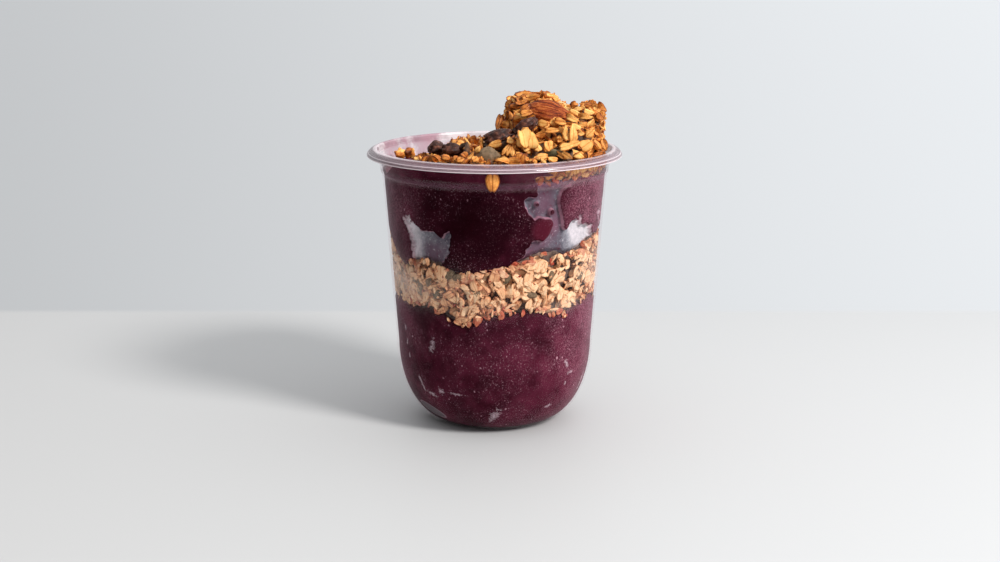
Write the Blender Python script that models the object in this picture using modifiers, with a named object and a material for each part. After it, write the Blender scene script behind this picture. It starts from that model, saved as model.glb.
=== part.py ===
"""Acai bowl: a clear, round-bottomed plastic cup of frozen acai, with a layer of granola through its
middle and a heap of granola, raisins, pumpkin seeds and an almond on top.

Metres, +Z up. The origin is the middle of the cup's foot. Angles run anticlockwise from +X, seen from
above, and the front of the cup is at 270 degrees.
"""

import math

import bmesh
import bpy
from mathutils import Euler, Matrix, Vector, noise

MM = 0.001
SEGMENTS = 40  # round the cup and round everything that fills it
GAP = 0.3 * MM  # between neighbouring pieces
MERGE = 0.01 * MM

# The cup.
WALL = 0.8 * MM
FOOT_RADIUS = 20.0 * MM
CORNER_OUT = 17.2 * MM  # the rounded corner above the foot: its width and its height
CORNER_UP = 30.5 * MM
NECK_RADIUS = 41.9 * MM
NECK_HEIGHT = 94.4 * MM
DISH_RADIUS = 14.5 * MM  # the raised middle of the foot, and how far it is raised
DISH_DEPTH = 1.0 * MM
CORNER_STEPS = 8

# The collar and the lip, as (radius, height) beyond the neck's radius and height. The inner line goes
# up, and the outer line comes back down.
COLLAR_INSIDE = ((-0.3, 0.8), (0.0, 2.0), (1.1, 5.8), (1.4, 7.6))
LIP_TOP = ((1.7, 8.7), (2.2, 9.0), (3.4, 8.7), (4.8, 7.9), (5.6, 6.5))
LIP_UNDERSIDE = ((5.0, 6.4), (4.1, 7.5), (2.7, 7.8), (2.1, 7.0))
COLLAR_OUTSIDE = ((2.0, 5.8), (0.7, 2.0), (0.55, 0.6))
COLLAR_FLARE = 0.22  # how fast the inside of the collar widens with height

# The levels where the layers meet, in millimetres: a mean height, and waves round the wall given as
# (height, waves in a turn, angle of a crest).
GRANOLA_FLOOR = 47.2
GRANOLA_FLOOR_WAVES = ((0.9, 1, 330), (0.8, 3, 315))
GRANOLA_CEILING = 67.0
GRANOLA_CEILING_WAVES = ((3.2, 1, 340), (1.5, 2, 160), (1.2, 3, 285))
CLEARANCE = 0.45  # between two layers, whose facets differ
SURFACE = 96.0
SURFACE_WAVES = ((0.8, 2, 90), (0.4, 5, 20))
FRONT_RISE = (4.2, 252, 58)  # where the acai climbs the collar: height, middle angle, half width

# Air pockets between the upper acai and the wall: angle and height of the middle, half width in degrees,
# half height in millimetres.
POCKETS = (
    (219, 76, 5, 6.5),
    (231, 70, 12, 6),
    (244, 73, 5, 5.5),
    (297, 88, 10, 6),
    (306, 84, 4, 9),
    (324, 74.5, 18, 5),
    (294, 72, 8, 4),
    (28, 78, 9, 7),
    (84, 72, 14, 5.5),
    (120, 85, 8, 6),
)
POCKET_DEPTH = 3.0 * MM

# The heap of granola on top, in millimetres: its centre, how far it spreads from there unless the wall
# stops it, and domes given as x, y, half width, half depth and the height of the top.
HEAP_CENTRE = (4.0, -9.0)
HEAP_REACH = 33.0
HEAP_REACH_WAVES = ((4.0, 1, 300), (1.2, 5, 40))
HEAP_WALL_RADIUS = 40.8
HEAP_SKIRT = 4.5  # least thickness above the acai
HEAP_LEAN = 0.16  # how fast its sides spread with height
HEAP_DOMES = (
    (14, 2, 13, 15, 123.0),
    (31, 0, 12, 17, 119.5),
    (24, -16, 15, 15, 116.0),
    (8, -19, 12, 14, 112.0),
    (-6, -20, 11, 13, 108.0),
    (-17, -20, 12, 12, 104.0),
    (28, -24, 12, 13, 110.0),
    (-4, 4, 16, 13, 106.0),
    (18, 9, 17, 13, 111.0),
)


def metres(pairs):
    """(radius, height) pairs measured from the neck, in metres from the cup's axis and foot."""
    return [(NECK_RADIUS + r * MM, NECK_HEIGHT + z * MM) for r, z in pairs]


def smooth_step(value):
    value = min(1.0, max(0.0, value))
    return value * value * (3 - 2 * value)


def turn_between(angle, other):
    """The angle from one direction to another, between -180 and 180 degrees."""
    return (angle - other + 180) % 360 - 180


def waves(angle, terms):
    return sum(height * math.cos(math.radians(count * (angle - crest))) for height, count, crest in terms)


def hump(angle, height, middle, half_width):
    """A rise with steep ends and a flat top round part of the cup."""
    return height * smooth_step(2.5 * (1 - abs(turn_between(angle, middle)) / half_width))


def wall_radius(height, inset):
    """Radius of the cup's outer face at a height, less an inset measured through the wall."""
    if height < CORNER_UP:
        drop = min(1.0, (CORNER_UP - height) / (CORNER_UP - inset))
        return FOOT_RADIUS + (CORNER_OUT - inset) * math.sqrt(1 - drop * drop)
    slope = (NECK_RADIUS - FOOT_RADIUS - CORNER_OUT) / (NECK_HEIGHT - CORNER_UP)
    flare = COLLAR_FLARE * max(0.0, height - NECK_HEIGHT)
    return min(FOOT_RADIUS + CORNER_OUT + slope * (height - CORNER_UP) + flare, NECK_RADIUS + flare) - inset


def foot_level(radius):
    """How far the foot's dished middle is raised at a radius."""
    return DISH_DEPTH * smooth_step((DISH_RADIUS + 2 * MM - radius) / (2 * MM))


def granola_floor(angle, share):
    """Where the granola starts, at an angle and a share of the way from the axis to the wall."""
    return (GRANOLA_FLOOR + waves(angle, GRANOLA_FLOOR_WAVES) * share) * MM


def granola_ceiling(angle, share):
    return (GRANOLA_CEILING + waves(angle, GRANOLA_CEILING_WAVES) * share) * MM


def acai_surface(angle, share):
    return (SURFACE + waves(angle, SURFACE_WAVES) * share + hump(angle, *FRONT_RISE) * share**4) * MM


def acai_surface_at(x, y):
    angle = math.degrees(math.atan2(y, x))
    return acai_surface(angle, min(1.0, math.hypot(x, y) / (NECK_RADIUS - WALL)))


def pocket_depth(angle, height):
    """How far the acai stands back from the wall, where air is caught behind the plastic."""
    deepest = 0.0
    for middle, level, half_width, half_height in POCKETS:
        across = turn_between(angle, middle) / half_width
        up = (height / MM - level) / half_height
        deepest = max(deepest, smooth_step(1.6 * (1.15 - math.hypot(across, up))))
    return POCKET_DEPTH * deepest


def material(name, colour, roughness, metallic=0.0, alpha=1.0):
    made = bpy.data.materials.new(name)
    made.use_nodes = True
    shader = made.node_tree.nodes["Principled BSDF"]
    shader.inputs["Base Color"].default_value = (*colour, 1.0)
    shader.inputs["Roughness"].default_value = roughness
    shader.inputs["Metallic"].default_value = metallic
    shader.inputs["Alpha"].default_value = alpha
    made.diffuse_color = (*colour, alpha)
    return made


def add_object(name, mesh, finish, collection):
    made = bpy.data.objects.new(name, mesh)
    collection.objects.link(made)
    mesh.materials.append(finish)
    mesh.shade_smooth()
    return made


def cup_profile():
    """The cup's section, from the middle of the inner floor up the inside, over the lip and down."""
    floor = [(0.0, WALL + DISH_DEPTH), (DISH_RADIUS - WALL, WALL + DISH_DEPTH), (DISH_RADIUS + 2 * MM, WALL)]
    turns = [math.radians(90 * step / CORNER_STEPS) for step in range(CORNER_STEPS + 1)]

    def corner(inset):
        return [
            (
                FOOT_RADIUS + (CORNER_OUT - inset) * math.sin(turn),
                CORNER_UP - (CORNER_UP - inset) * math.cos(turn),
            )
            for turn in turns
        ]

    neck = [(NECK_RADIUS - WALL, NECK_HEIGHT)]
    inside = floor + corner(WALL) + neck + metres(COLLAR_INSIDE)
    outside = metres(LIP_UNDERSIDE) + metres(COLLAR_OUTSIDE) + [(NECK_RADIUS, NECK_HEIGHT - 0.5 * MM)]
    foot = [(DISH_RADIUS + 1.4 * MM, 0.0), (DISH_RADIUS, DISH_DEPTH), (0.0, DISH_DEPTH)]
    return inside + metres(LIP_TOP) + outside + corner(0.0)[::-1] + foot


def build_cup(collection):
    points = cup_profile()
    mesh = bpy.data.meshes.new("cup")
    edges = [(step, step + 1) for step in range(len(points) - 1)]
    mesh.from_pydata([(radius, 0.0, height) for radius, height in points], edges, [])
    cup = add_object("cup", mesh, material("clear_plastic", (0.86, 0.86, 0.88), 0.12, alpha=0.3), collection)
    screw = cup.modifiers.new("turn", "SCREW")
    screw.steps = SEGMENTS
    screw.render_steps = SEGMENTS
    screw.use_merge_vertices = True
    screw.merge_threshold = MERGE
    return cup


def drum(base_rings, side_rings, top_rings):
    """A closed drum of radius 1 and height 1, turned from its own section, to be bent into a layer."""
    section = [(ring / base_rings, 0.0) for ring in range(base_rings)]
    section += [(1.0, ring / side_rings) for ring in range(side_rings + 1)]
    section += [(ring / top_rings, 1.0) for ring in reversed(range(top_rings))]
    shape = bmesh.new()
    line = [shape.verts.new((radius, 0.0, height)) for radius, height in section]
    for start, end in zip(line, line[1:]):
        shape.edges.new((start, end))
    bmesh.ops.spin(
        shape,
        geom=shape.verts[:] + shape.edges[:],
        cent=(0, 0, 0),
        axis=(0, 0, 1),
        angle=2 * math.pi,
        steps=SEGMENTS,
        use_merge=True,
    )
    bmesh.ops.remove_doubles(shape, verts=shape.verts[:], dist=1e-5)
    bmesh.ops.recalc_face_normals(shape, faces=shape.faces[:])
    return shape


def build_layer(name, place, rings, finish, collection):
    """A drum whose every vertex goes where place(share out, angle, share up) says."""
    shape = drum(*rings)
    for vertex in shape.verts:
        share = math.hypot(vertex.co.x, vertex.co.y)
        angle = math.degrees(math.atan2(vertex.co.y, vertex.co.x)) % 360
        vertex.co = place(share, angle, vertex.co.z)
    mesh = bpy.data.meshes.new(name)
    shape.to_mesh(mesh)
    shape.free()
    return add_object(name, mesh, finish, collection)


def around(radius, angle, height):
    turn = math.radians(angle)
    return Vector((radius * math.cos(turn), radius * math.sin(turn), height))


def lower_acai_point(share, angle, up):
    """The bottom acai fills the round of the cup. Its rings crowd together where the corner is tight."""
    inset = WALL + GAP
    low = inset + foot_level(share * FOOT_RADIUS)
    high = granola_floor(angle, share) - CLEARANCE * MM
    height = low + (high - low) * up**1.6
    return around(share * wall_radius(height, inset), angle, height)


def granola_point(share, angle, up):
    low = granola_floor(angle, share)
    height = low + (granola_ceiling(angle, share) - low) * up
    return around(share * wall_radius(height, WALL + GAP), angle, height)


def upper_acai_point(share, angle, up):
    """Where a pocket reaches down to the granola, the acai's lower face ends short of the wall."""
    edge = granola_ceiling(angle, 1.0)
    short = 1 - pocket_depth(angle, edge) / wall_radius(edge, WALL + GAP)
    low = granola_ceiling(angle, share * short) + CLEARANCE * MM
    height = low + (acai_surface(angle, share) - low) * up
    radius = wall_radius(height, WALL + GAP) - pocket_depth(angle, height)
    return around(share * radius, angle, height)


def heap_height(x, y):
    """Height of the heap's top over a place on the acai, both in millimetres."""
    ground = acai_surface_at(x * MM, y * MM) / MM
    highest = ground + HEAP_SKIRT
    for middle_x, middle_y, half_width, half_depth, top in HEAP_DOMES:
        out = ((x - middle_x) / half_width) ** 2 + ((y - middle_y) / half_depth) ** 2
        if out < 1:
            highest = max(highest, ground + (top - ground) * math.sqrt(1 - out * out))
    return highest + 0.8 * noise.noise((x * 0.22, y * 0.22, 3.0))


def heap_point(share, angle, up):
    """The heap spreads from its centre to its own edge, or to the wall where it leans on it."""
    centre_x, centre_y = HEAP_CENTRE
    turn = math.radians(angle)
    along = centre_x * math.cos(turn) + centre_y * math.sin(turn)
    middle = centre_x**2 + centre_y**2
    to_wall = -along + math.sqrt(along**2 - middle + HEAP_WALL_RADIUS**2)
    out = share * min(to_wall, HEAP_REACH + waves(angle, HEAP_REACH_WAVES))
    x = centre_x + out * math.cos(turn)
    y = centre_y + out * math.sin(turn)
    low = acai_surface_at(x * MM, y * MM) / MM + CLEARANCE
    rise = (heap_height(x, y) - low) * up
    lean = HEAP_LEAN * rise * share
    return Vector((x + lean * math.cos(turn), y + lean * math.sin(turn), low + rise)) * MM


def pebble(name, size, turns, bend, finish, collection):
    """A small topping from a sphere: size is its length, width and thickness, and bend moves each point
    of the unit sphere to shape it."""
    shape = bmesh.new()
    bmesh.ops.create_uvsphere(shape, u_segments=12, v_segments=8, radius=1.0)
    stand_to_lie = Matrix.Rotation(math.radians(90), 3, "Y")
    half = Vector(size) * 0.5 * MM
    for vertex in shape.verts:
        point = bend(stand_to_lie @ vertex.co)
        vertex.co = Vector((point.x * half.x, point.y * half.y, point.z * half.z))
    mesh = bpy.data.meshes.new(name)
    shape.to_mesh(mesh)
    shape.free()
    made = add_object(name, mesh, finish, collection)
    made.rotation_euler = Euler([math.radians(turn) for turn in turns])
    return made


def almond_bend(point):
    """One end comes to a point and the other stays round."""
    taper = 1 - 0.42 * smooth_step((point.x + 0.1) / 1.1)
    return Vector((point.x * (1.06 if point.x > 0 else 1.0), point.y * taper, point.z * taper))


def seed_bend(point):
    """A flat drop, narrowing to one end."""
    taper = 1 - 0.5 * smooth_step((point.x + 0.2) / 1.2)
    return Vector((point.x, point.y * taper, point.z))


def raisin_bend(point):
    """Folds run along the length of the dried fruit."""
    folds = 1 + 0.09 * math.cos(5 * math.atan2(point.z, point.y) + 2.2 * point.x)
    return Vector((point.x, point.y * folds, point.z * folds))


def oat_bend(point):
    """A rolled oat is a flat oval with a crease along it."""
    crease = 0.35 * math.exp(-((point.y / 0.25) ** 2)) * (1 - point.x * point.x)
    return Vector((point.x, point.y, point.z * (1 - crease)))


def clump_bend(point):
    bumps = 1 + 0.16 * noise.noise(point * 2.1)
    return point * bumps


# Name, shape, finish, size and centre in millimetres, and turns in degrees.
TOPPINGS = (
    ("almond", almond_bend, "almond", (17.0, 10.6, 7.6), (19.4, -15.0, 117.6), (38, 8, -10)),
    ("raisin_1", raisin_bend, "raisin", (6.2, 5.8, 5.6), (-20.8, -18.0, 105.0), (20, -18, 30)),
    ("raisin_2", raisin_bend, "raisin", (7.4, 6.2, 5.6), (-15.0, -24.2, 105.4), (0, 12, -8)),
    ("raisin_3", raisin_bend, "raisin", (10.8, 6.0, 5.0), (1.6, -23.5, 110.2), (10, -12, 6)),
    ("raisin_4", raisin_bend, "raisin", (8.8, 5.6, 4.8), (11.4, -24.0, 114.2), (0, -28, 4)),
    ("pumpkin_seed_1", seed_bend, "pumpkin_seed", (7.6, 6.4, 3.2), (-1.5, -33.2, 105.2), (62, 6, 8)),
    ("pumpkin_seed_2", seed_bend, "pumpkin_seed", (7.6, 5.6, 2.8), (21.2, -32.6, 104.9), (58, 14, 176)),
)
STRAY_CLUMP = ("stray_clump", clump_bend, "granola", (8.0, 6.5, 5.5), (-34.0, 12.0, 98.9), (0, 0, 25))
WALL_OAT = ("oat_on_wall", oat_bend, "granola", (8.2, 5.6, 1.3), (-0.6, -44.6, 97.7), (80, 90, 0))


def place_topping(entry, finishes, collection):
    name, bend, finish, size, centre, turns = entry
    made = pebble(name, size, turns, bend, finishes[finish], collection)
    made.location = Vector(centre) * MM
    return made


def cut_room(heap, topping, cutters):
    """Hollows the heap under a topping, so that the topping sits in it without touching it."""
    mesh = topping.data.copy()
    shape = bmesh.new()
    shape.from_mesh(mesh)
    shape.normal_update()
    for vertex in shape.verts:
        vertex.co += vertex.normal * 1.4 * GAP
    shape.to_mesh(mesh)
    shape.free()
    cutter = bpy.data.objects.new(topping.name + "_room", mesh)
    cutters.objects.link(cutter)
    cutter.location = topping.location
    cutter.rotation_euler = topping.rotation_euler
    cutter.hide_render = True
    cutter.display_type = "WIRE"
    cut = heap.modifiers.new(cutter.name, "BOOLEAN")
    cut.operation = "DIFFERENCE"
    cut.object = cutter


def new_collection(name):
    made = bpy.data.collections.new(name)
    bpy.context.scene.collection.children.link(made)
    return made


def main():
    for old in list(bpy.data.objects):
        bpy.data.objects.remove(old)
    bowl = new_collection("acai_bowl")
    cutters = new_collection("cutters")
    finishes = {
        "acai": material("frozen_acai", (0.075, 0.014, 0.03), 0.45),
        "granola": material("granola", (0.55, 0.29, 0.1), 0.75),
        "almond": material("almond_skin", (0.3, 0.09, 0.035), 0.6),
        "raisin": material("raisin_skin", (0.05, 0.018, 0.012), 0.5),
        "pumpkin_seed": material("pumpkin_seed_skin", (0.16, 0.15, 0.07), 0.55),
    }
    build_cup(bowl)
    build_layer("acai_lower", lower_acai_point, (3, 11, 3), finishes["acai"], bowl)
    build_layer("granola_middle", granola_point, (3, 4, 3), finishes["granola"], bowl)
    build_layer("acai_upper", upper_acai_point, (3, 9, 5), finishes["acai"], bowl)
    heap = build_layer("granola_top", heap_point, (3, 2, 9), finishes["granola"], bowl)
    for entry in TOPPINGS:
        cut_room(heap, place_topping(entry, finishes, bowl), cutters)
    place_topping(STRAY_CLUMP, finishes, bowl)
    place_topping(WALL_OAT, finishes, bowl)


main()
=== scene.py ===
"""Looks of the acai bowl: a clear cup of frozen acai with granola through its middle and heaped on top.

Every piece stands where its solid in the frame stands. Heights and radii are in metres. Angles are in
degrees, anticlockwise from +X seen from above, and the front of the cup is at 270 degrees.
"""

import math
import random

import bmesh
import bpy
import numpy as np
from mathutils import Matrix, Vector, noise
from mathutils.bvhtree import BVHTree


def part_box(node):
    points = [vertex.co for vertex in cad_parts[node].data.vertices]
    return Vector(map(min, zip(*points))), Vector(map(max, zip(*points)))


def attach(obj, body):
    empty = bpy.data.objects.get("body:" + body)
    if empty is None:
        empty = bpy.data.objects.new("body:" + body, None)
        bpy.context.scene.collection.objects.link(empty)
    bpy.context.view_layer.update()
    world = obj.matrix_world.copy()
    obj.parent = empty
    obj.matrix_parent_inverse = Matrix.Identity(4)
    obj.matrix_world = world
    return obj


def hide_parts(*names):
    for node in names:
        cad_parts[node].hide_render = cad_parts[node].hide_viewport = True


MM = 0.001
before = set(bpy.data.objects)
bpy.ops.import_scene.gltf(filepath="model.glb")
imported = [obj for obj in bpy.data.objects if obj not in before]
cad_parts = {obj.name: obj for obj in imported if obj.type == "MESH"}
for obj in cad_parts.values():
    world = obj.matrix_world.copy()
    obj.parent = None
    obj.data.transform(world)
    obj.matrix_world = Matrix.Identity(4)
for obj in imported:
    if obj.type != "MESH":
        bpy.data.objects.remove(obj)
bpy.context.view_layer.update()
dice = random.Random(7)

# ---------------------------------------------------------------------------------------------------
# Sizes
# ---------------------------------------------------------------------------------------------------

CUP_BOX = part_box("cup")
RIM_RADIUS = CUP_BOX[1].x
RIM_HEIGHT = CUP_BOX[1].z
NECK_RADIUS = RIM_RADIUS - 5.6 * MM
NECK_HEIGHT = RIM_HEIGHT - 9.0 * MM
NECK_MM = NECK_HEIGHT / MM
RIM_MM = RIM_HEIGHT / MM
WALL = 0.8 * MM
FOOT_RADIUS = 20.0 * MM
CORNER_OUT = 17.2 * MM
CORNER_UP = 30.5 * MM
CORNER_STEPS = 26
DISH_RADIUS = 14.5 * MM
DISH_DEPTH = 1.0 * MM
INTO_WALL = 0.1 * MM  # how far the filling reaches into the plastic

# The collar and the lip, as (radius, height) beyond the neck, in millimetres.
COLLAR_INSIDE = ((-0.8, 0.0), (-0.3, 0.8), (0.0, 2.0), (0.5, 3.8), (1.1, 5.8), (1.4, 7.6), (1.6, 8.5))
LIP_TOP = ((2.15, 9.0), (3.3, 8.75), (4.5, 8.1), (5.3, 7.3), (5.6, 6.5))
LIP_UNDERSIDE = ((5.35, 6.2), (5.0, 6.45), (4.4, 7.25), (3.5, 7.85), (2.7, 7.9), (2.15, 7.2))
COLLAR_OUTSIDE = ((2.0, 5.8), (1.3, 3.8), (0.75, 2.1), (0.62, 1.2), (0.5, 0.5), (0.0, -0.3))

# Where the layers meet at the wall: angle, height in millimetres.
GRANOLA_FLOOR = (
    (0, 49.0), (25, 47.5), (50, 48.6), (80, 46.2), (105, 47.8), (135, 45.8), (160, 48.2), (180, 49.4),
    (198, 49.2), (209, 49.2), (215, 47.5), (223, 48.6), (231, 49.0), (237, 47.3), (243, 44.8),
    (250, 43.9), (254, 42.7), (258, 44.9), (264, 47.0), (272, 47.8), (283, 48.2), (295, 48.8),
    (304, 46.4), (314, 45.1), (319, 47.8), (327, 48.9), (342, 49.3),
)  # fmt: skip
GRANOLA_CEILING = (
    (0, 72.5), (14, 69.0), (30, 70.5), (52, 65.5), (75, 67.5), (100, 64.5), (128, 68.5), (150, 64.8),
    (168, 69.0), (180, 72.0), (187, 72.6), (195, 70.3), (200, 67.4), (205, 64.6), (211, 62.3),
    (216, 64.2), (220, 65.6), (230, 66.2), (239, 64.9), (246, 64.0), (256, 62.8), (266, 63.7),
    (275, 64.8), (280, 66.4), (285, 67.3), (291, 69.3), (297, 70.2), (304, 69.9), (309, 69.4),
    (313, 68.3), (318, 68.6), (323, 69.0), (328, 70.0), (333, 71.0), (338, 71.4), (344, 71.2), (350, 70.8),
)  # fmt: skip
FLOOR_MEAN = 47.2
CEILING_MEAN = 67.0

# The acai's top: its level and waves (height, waves in a turn, angle of a crest), and the stretch at the
# front where it climbs the collar (height, middle angle, half width).
SURFACE = 96.0
SURFACE_WAVES = ((0.8, 2, 90), (0.4, 5, 20))
FRONT_RISE = (4.4, 252, 58)

# Air caught between the upper acai and the wall: outlines as (angle, height in millimetres).
LEFT_POCKET = (
    (213.5, 80.3), (216, 80.4), (218, 81.4), (220.6, 82.2), (221.3, 80.3), (225.4, 78.4), (228, 77.3),
    (232.5, 77.6), (236.5, 77.2), (238.6, 76.1), (241.6, 76.1), (244.5, 77.6), (246.5, 77.7), (246.2, 75.6),
    (246, 73), (245, 70), (242.3, 67.5), (239, 64), (231, 61.5), (222, 60.5), (213, 60), (211.2, 61.7),
    (213.5, 63.7), (219.3, 65.8), (220.3, 68), (220.5, 71.7), (219, 74.4), (217.4, 77.3),
)  # fmt: skip
RIGHT_POCKET = (
    (290.9, 98), (292, 95), (292, 92.9), (292.6, 91.7), (291.4, 90.6), (288.4, 91.1), (285.5, 90.1),
    (285.4, 88.8), (287.2, 85.6), (289.3, 83.9), (291.2, 82.3), (292.8, 83.4), (296.1, 82.9), (300.2, 82.5),
    (302, 81), (301.5, 79.3), (299.5, 76.6), (296.3, 74.6), (293.3, 74.9), (289.9, 74.5), (289, 73),
    (286.9, 71.5), (286.1, 69.5), (282.5, 68), (280.6, 64), (293, 64), (311, 64), (328, 66), (336, 70),
    (335.4, 73.6), (333.4, 77), (329, 78.4), (323, 79), (321.8, 81.6), (320, 82.4), (319.7, 80.4),
    (316.4, 81), (313.6, 80.1), (310.8, 78), (308.7, 79), (308.4, 80.7), (307.4, 83.3), (306.1, 86.2),
    (305.2, 89), (305.9, 91.7), (308.4, 93.2), (312.3, 94), (313, 98),
)  # fmt: skip
SIDE_POCKET = (
    (334, 74.2), (338.5, 73.4), (342, 73.2), (346.5, 75.2), (344, 78), (341, 80.8), (345.3, 82.3),
    (350.6, 84.6), (356, 86), (359.5, 80), (359, 66), (345, 64), (336, 66),
)  # fmt: skip
BACK_POCKETS = (
    ((15, 78), (19, 84), (22, 83), (24, 88), (29, 90), (31, 85), (29, 81), (35, 79), (38, 73), (34, 66),
     (16, 66)),
    ((70, 70), (74, 76), (79, 74), (82, 80), (88, 82), (90, 77), (96, 78), (99, 73), (105, 71), (102, 60),
     (72, 61)),
    ((113, 83), (117, 86), (116, 91), (121, 94), (126, 91), (124, 87), (129, 84), (126, 79), (121, 82),
     (117, 79)),
    ((156, 68), (160, 76), (163, 84), (166, 85), (167, 79), (173, 77), (174, 70), (172, 64), (158, 62)),
)  # fmt: skip
POCKETS = (LEFT_POCKET, RIGHT_POCKET, SIDE_POCKET) + BACK_POCKETS
POCKET_DEPTH = 2.2 * MM
POCKET_EDGE = 1.1  # width of a pocket's sloping edge, in millimetres
# Where light gets into the pockets, and where their film is pinker: angle, height, half width and half
# height in millimetres, strength. The light is capped on each side, as the right is lit more strongly.
AIR_LIGHT = (
    (217, 79, 4, 5, 1.1), (222.5, 70, 4, 8, 0.7), (232, 76, 5, 3, 0.3), (242, 72, 6, 6, 0.18),
    (328, 75.5, 8, 6.2, 1.6), (315, 79, 3, 3, 0.3), (311, 74, 4, 3, 0.14), (300, 74, 6, 3, 0.12),
    (303, 84, 6, 4, 0.03), (349, 78, 7, 9, 1.0), (28, 78, 8, 6, 0.4), (84, 70, 12, 5, 0.35),
    (166, 72, 8, 6, 0.4),
)  # fmt: skip
AIR_LIGHT_CAP_LEFT = 1.2
AIR_LIGHT_CAP_RIGHT = 0.68
AIR_BLUSH = (
    (304.5, 80.0, 3, 4, 0.9), (297, 74.5, 4, 2.5, 0.7), (288, 70, 5, 3, 0.7), (297, 88, 4, 5, 0.5),
    (235, 70, 8, 4, 0.45), (165, 78, 5, 4, 0.6),
)  # fmt: skip
BLOBS = ((292.3, 88.1, 0.75), (300.9, 84.9, 1.1))  # drops of acai in the pockets: angle, height, radius
NO_AIR = -9.0  # for a place far from any pocket, as a distance inside one in millimetres


# ---------------------------------------------------------------------------------------------------
# Shapes of the cup and of what fills it
# ---------------------------------------------------------------------------------------------------


def smooth_step(value):
    value = np.clip(value, 0.0, 1.0)
    return value * value * (3 - 2 * value)


def turn_between(angle, other):
    """The angle from one direction to another, between -180 and 180 degrees."""
    return (angle - other + 180) % 360 - 180


def smooth_line(points, steps, closed=False):
    """A smooth curve through the points, as an array. An open one keeps its ends."""
    points = np.array(points, float)
    if closed:
        before, after, beyond = (np.roll(points, turn, 0) for turn in (1, -1, -2))
    else:
        padded = np.concatenate([points[:1], points, points[-1:], points[-1:]])
        before, after, beyond = padded[:-3], padded[2:-1], padded[3:]
    a, b, c, d = (corner[:, None, :] for corner in (before, points, after, beyond))
    t = np.arange(steps)[None, :, None] / steps
    curve = 0.5 * (2 * b + (c - a) * t + (2 * a - 5 * b + 4 * c - d) * t**2 + (3 * b - a - 3 * c + d) * t**3)
    curve = curve.reshape(-1, points.shape[1])
    return curve if closed else np.concatenate([curve[: 1 - steps], points[-1:]])


def noise_at(points, size, seed=0.0):
    """Smooth noise from -1 to 1 at an array of points, with features of a size in metres."""
    return np.array([noise.noise((x, y, z + seed)) for x, y, z in (points / size).tolist()])


def beyond_neck(pairs):
    return [(NECK_RADIUS + r * MM, NECK_HEIGHT + z * MM) for r, z in pairs]


def corner(inset):
    """The rounded corner above the foot, from the foot up."""
    turns = [math.radians(90 * step / CORNER_STEPS) for step in range(CORNER_STEPS + 1)]
    out, up = CORNER_OUT - inset, CORNER_UP - inset
    return [(FOOT_RADIUS + out * math.sin(turn), CORNER_UP - up * math.cos(turn)) for turn in turns]


# The inside of the wall, from its floor to the top of the collar.
INSIDE = corner(WALL) + [tuple(p) for p in smooth_line(beyond_neck(COLLAR_INSIDE), 3)]
INSIDE_RADII, INSIDE_HEIGHTS = zip(*INSIDE)


def wall_inside(height):
    """Radius of the inside of the wall at each height above the foot."""
    return np.interp(height, INSIDE_HEIGHTS, INSIDE_RADII)


def line_height(line, angle):
    """Height of a line round the wall at an angle, in millimetres."""
    angles, heights = zip(*line)
    return np.interp(angle, angles, heights, period=360)


def level(line, mean, angle, share):
    """Height of the face between two layers, in metres: its line at the wall, evening out inwards."""
    return (mean + (line_height(line, angle) - mean) * share) * MM


def acai_surface(angle, share):
    """Height of the acai's top, in metres."""
    height = SURFACE
    for rise, count, crest in SURFACE_WAVES:
        height = height + rise * np.cos(np.radians(count * (angle - crest))) * share
    rise, middle, half_width = FRONT_RISE
    front = smooth_step(2.5 * (1 - np.abs(turn_between(angle, middle)) / half_width))
    return (height + rise * front * share**4) * MM


def across_wall(angle, other):
    """How far round the wall one direction is from another, in millimetres."""
    return np.radians(turn_between(angle, other)) * NECK_RADIUS / MM


def outline_distance(outline, angle, height):
    """How far inside an outline each place on the wall is, in millimetres. It is negative outside."""
    middle = np.mean([a for a, _ in outline])
    across = across_wall(angle, middle)
    curve = smooth_line(outline, 4, closed=True)
    xs = np.radians(curve[:, 0] - middle) * NECK_RADIUS / MM
    ys = curve[:, 1]
    nearest = np.full(len(angle), 1e9)
    inside = np.zeros(len(angle), bool)
    for x0, y0, x1, y1 in zip(xs, ys, np.roll(xs, -1), np.roll(ys, -1)):
        run, rise = x1 - x0, y1 - y0
        off, up = across - x0, height - y0
        along = np.clip((off * run + up * rise) / (run**2 + rise**2 + 1e-9), 0, 1)
        nearest = np.minimum(nearest, np.hypot(off - along * run, up - along * rise))
        crosses = (y0 > height) != (y1 > height)
        inside ^= crosses & (across < run * up / (rise + 1e-12) + x0)
    return np.where(inside, nearest, -nearest)


def blots(spots, angle, height):
    """Soft spots on the wall, added up: each has its angle, height, half sizes in millimetres, strength."""
    found = np.zeros(len(angle))
    for at, level_up, wide, tall, strength in spots:
        across = across_wall(angle, at) / wide
        found += strength * np.exp(-(across**2) - ((height / MM - level_up) / tall) ** 2)
    return found


def air_at_wall(points, angle, height):
    """How far inside the nearest air pocket each place on the wall is, in millimetres."""
    ragged = 0.9 * noise_at(points, 1.3 * MM, 5.0) + 0.9 * noise_at(points, 3.5 * MM, 9.0)
    ragged *= 1 - 0.7 * np.exp(-((turn_between(angle, 300) / 20) ** 4))
    found = np.full(len(angle), NO_AIR)
    for outline in POCKETS:
        near = np.abs(turn_between(angle, np.mean([a for a, _ in outline]))) < 40
        found[near] = np.maximum(found[near], outline_distance(outline, angle[near], height[near] / MM))
    found = found + ragged
    for blob_angle, blob_height, radius in BLOBS:
        away = np.hypot(across_wall(angle, blob_angle), height / MM - blob_height)
        found = np.minimum(found, away - radius)
    return found


# ---------------------------------------------------------------------------------------------------
# Making meshes
# ---------------------------------------------------------------------------------------------------


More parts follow.
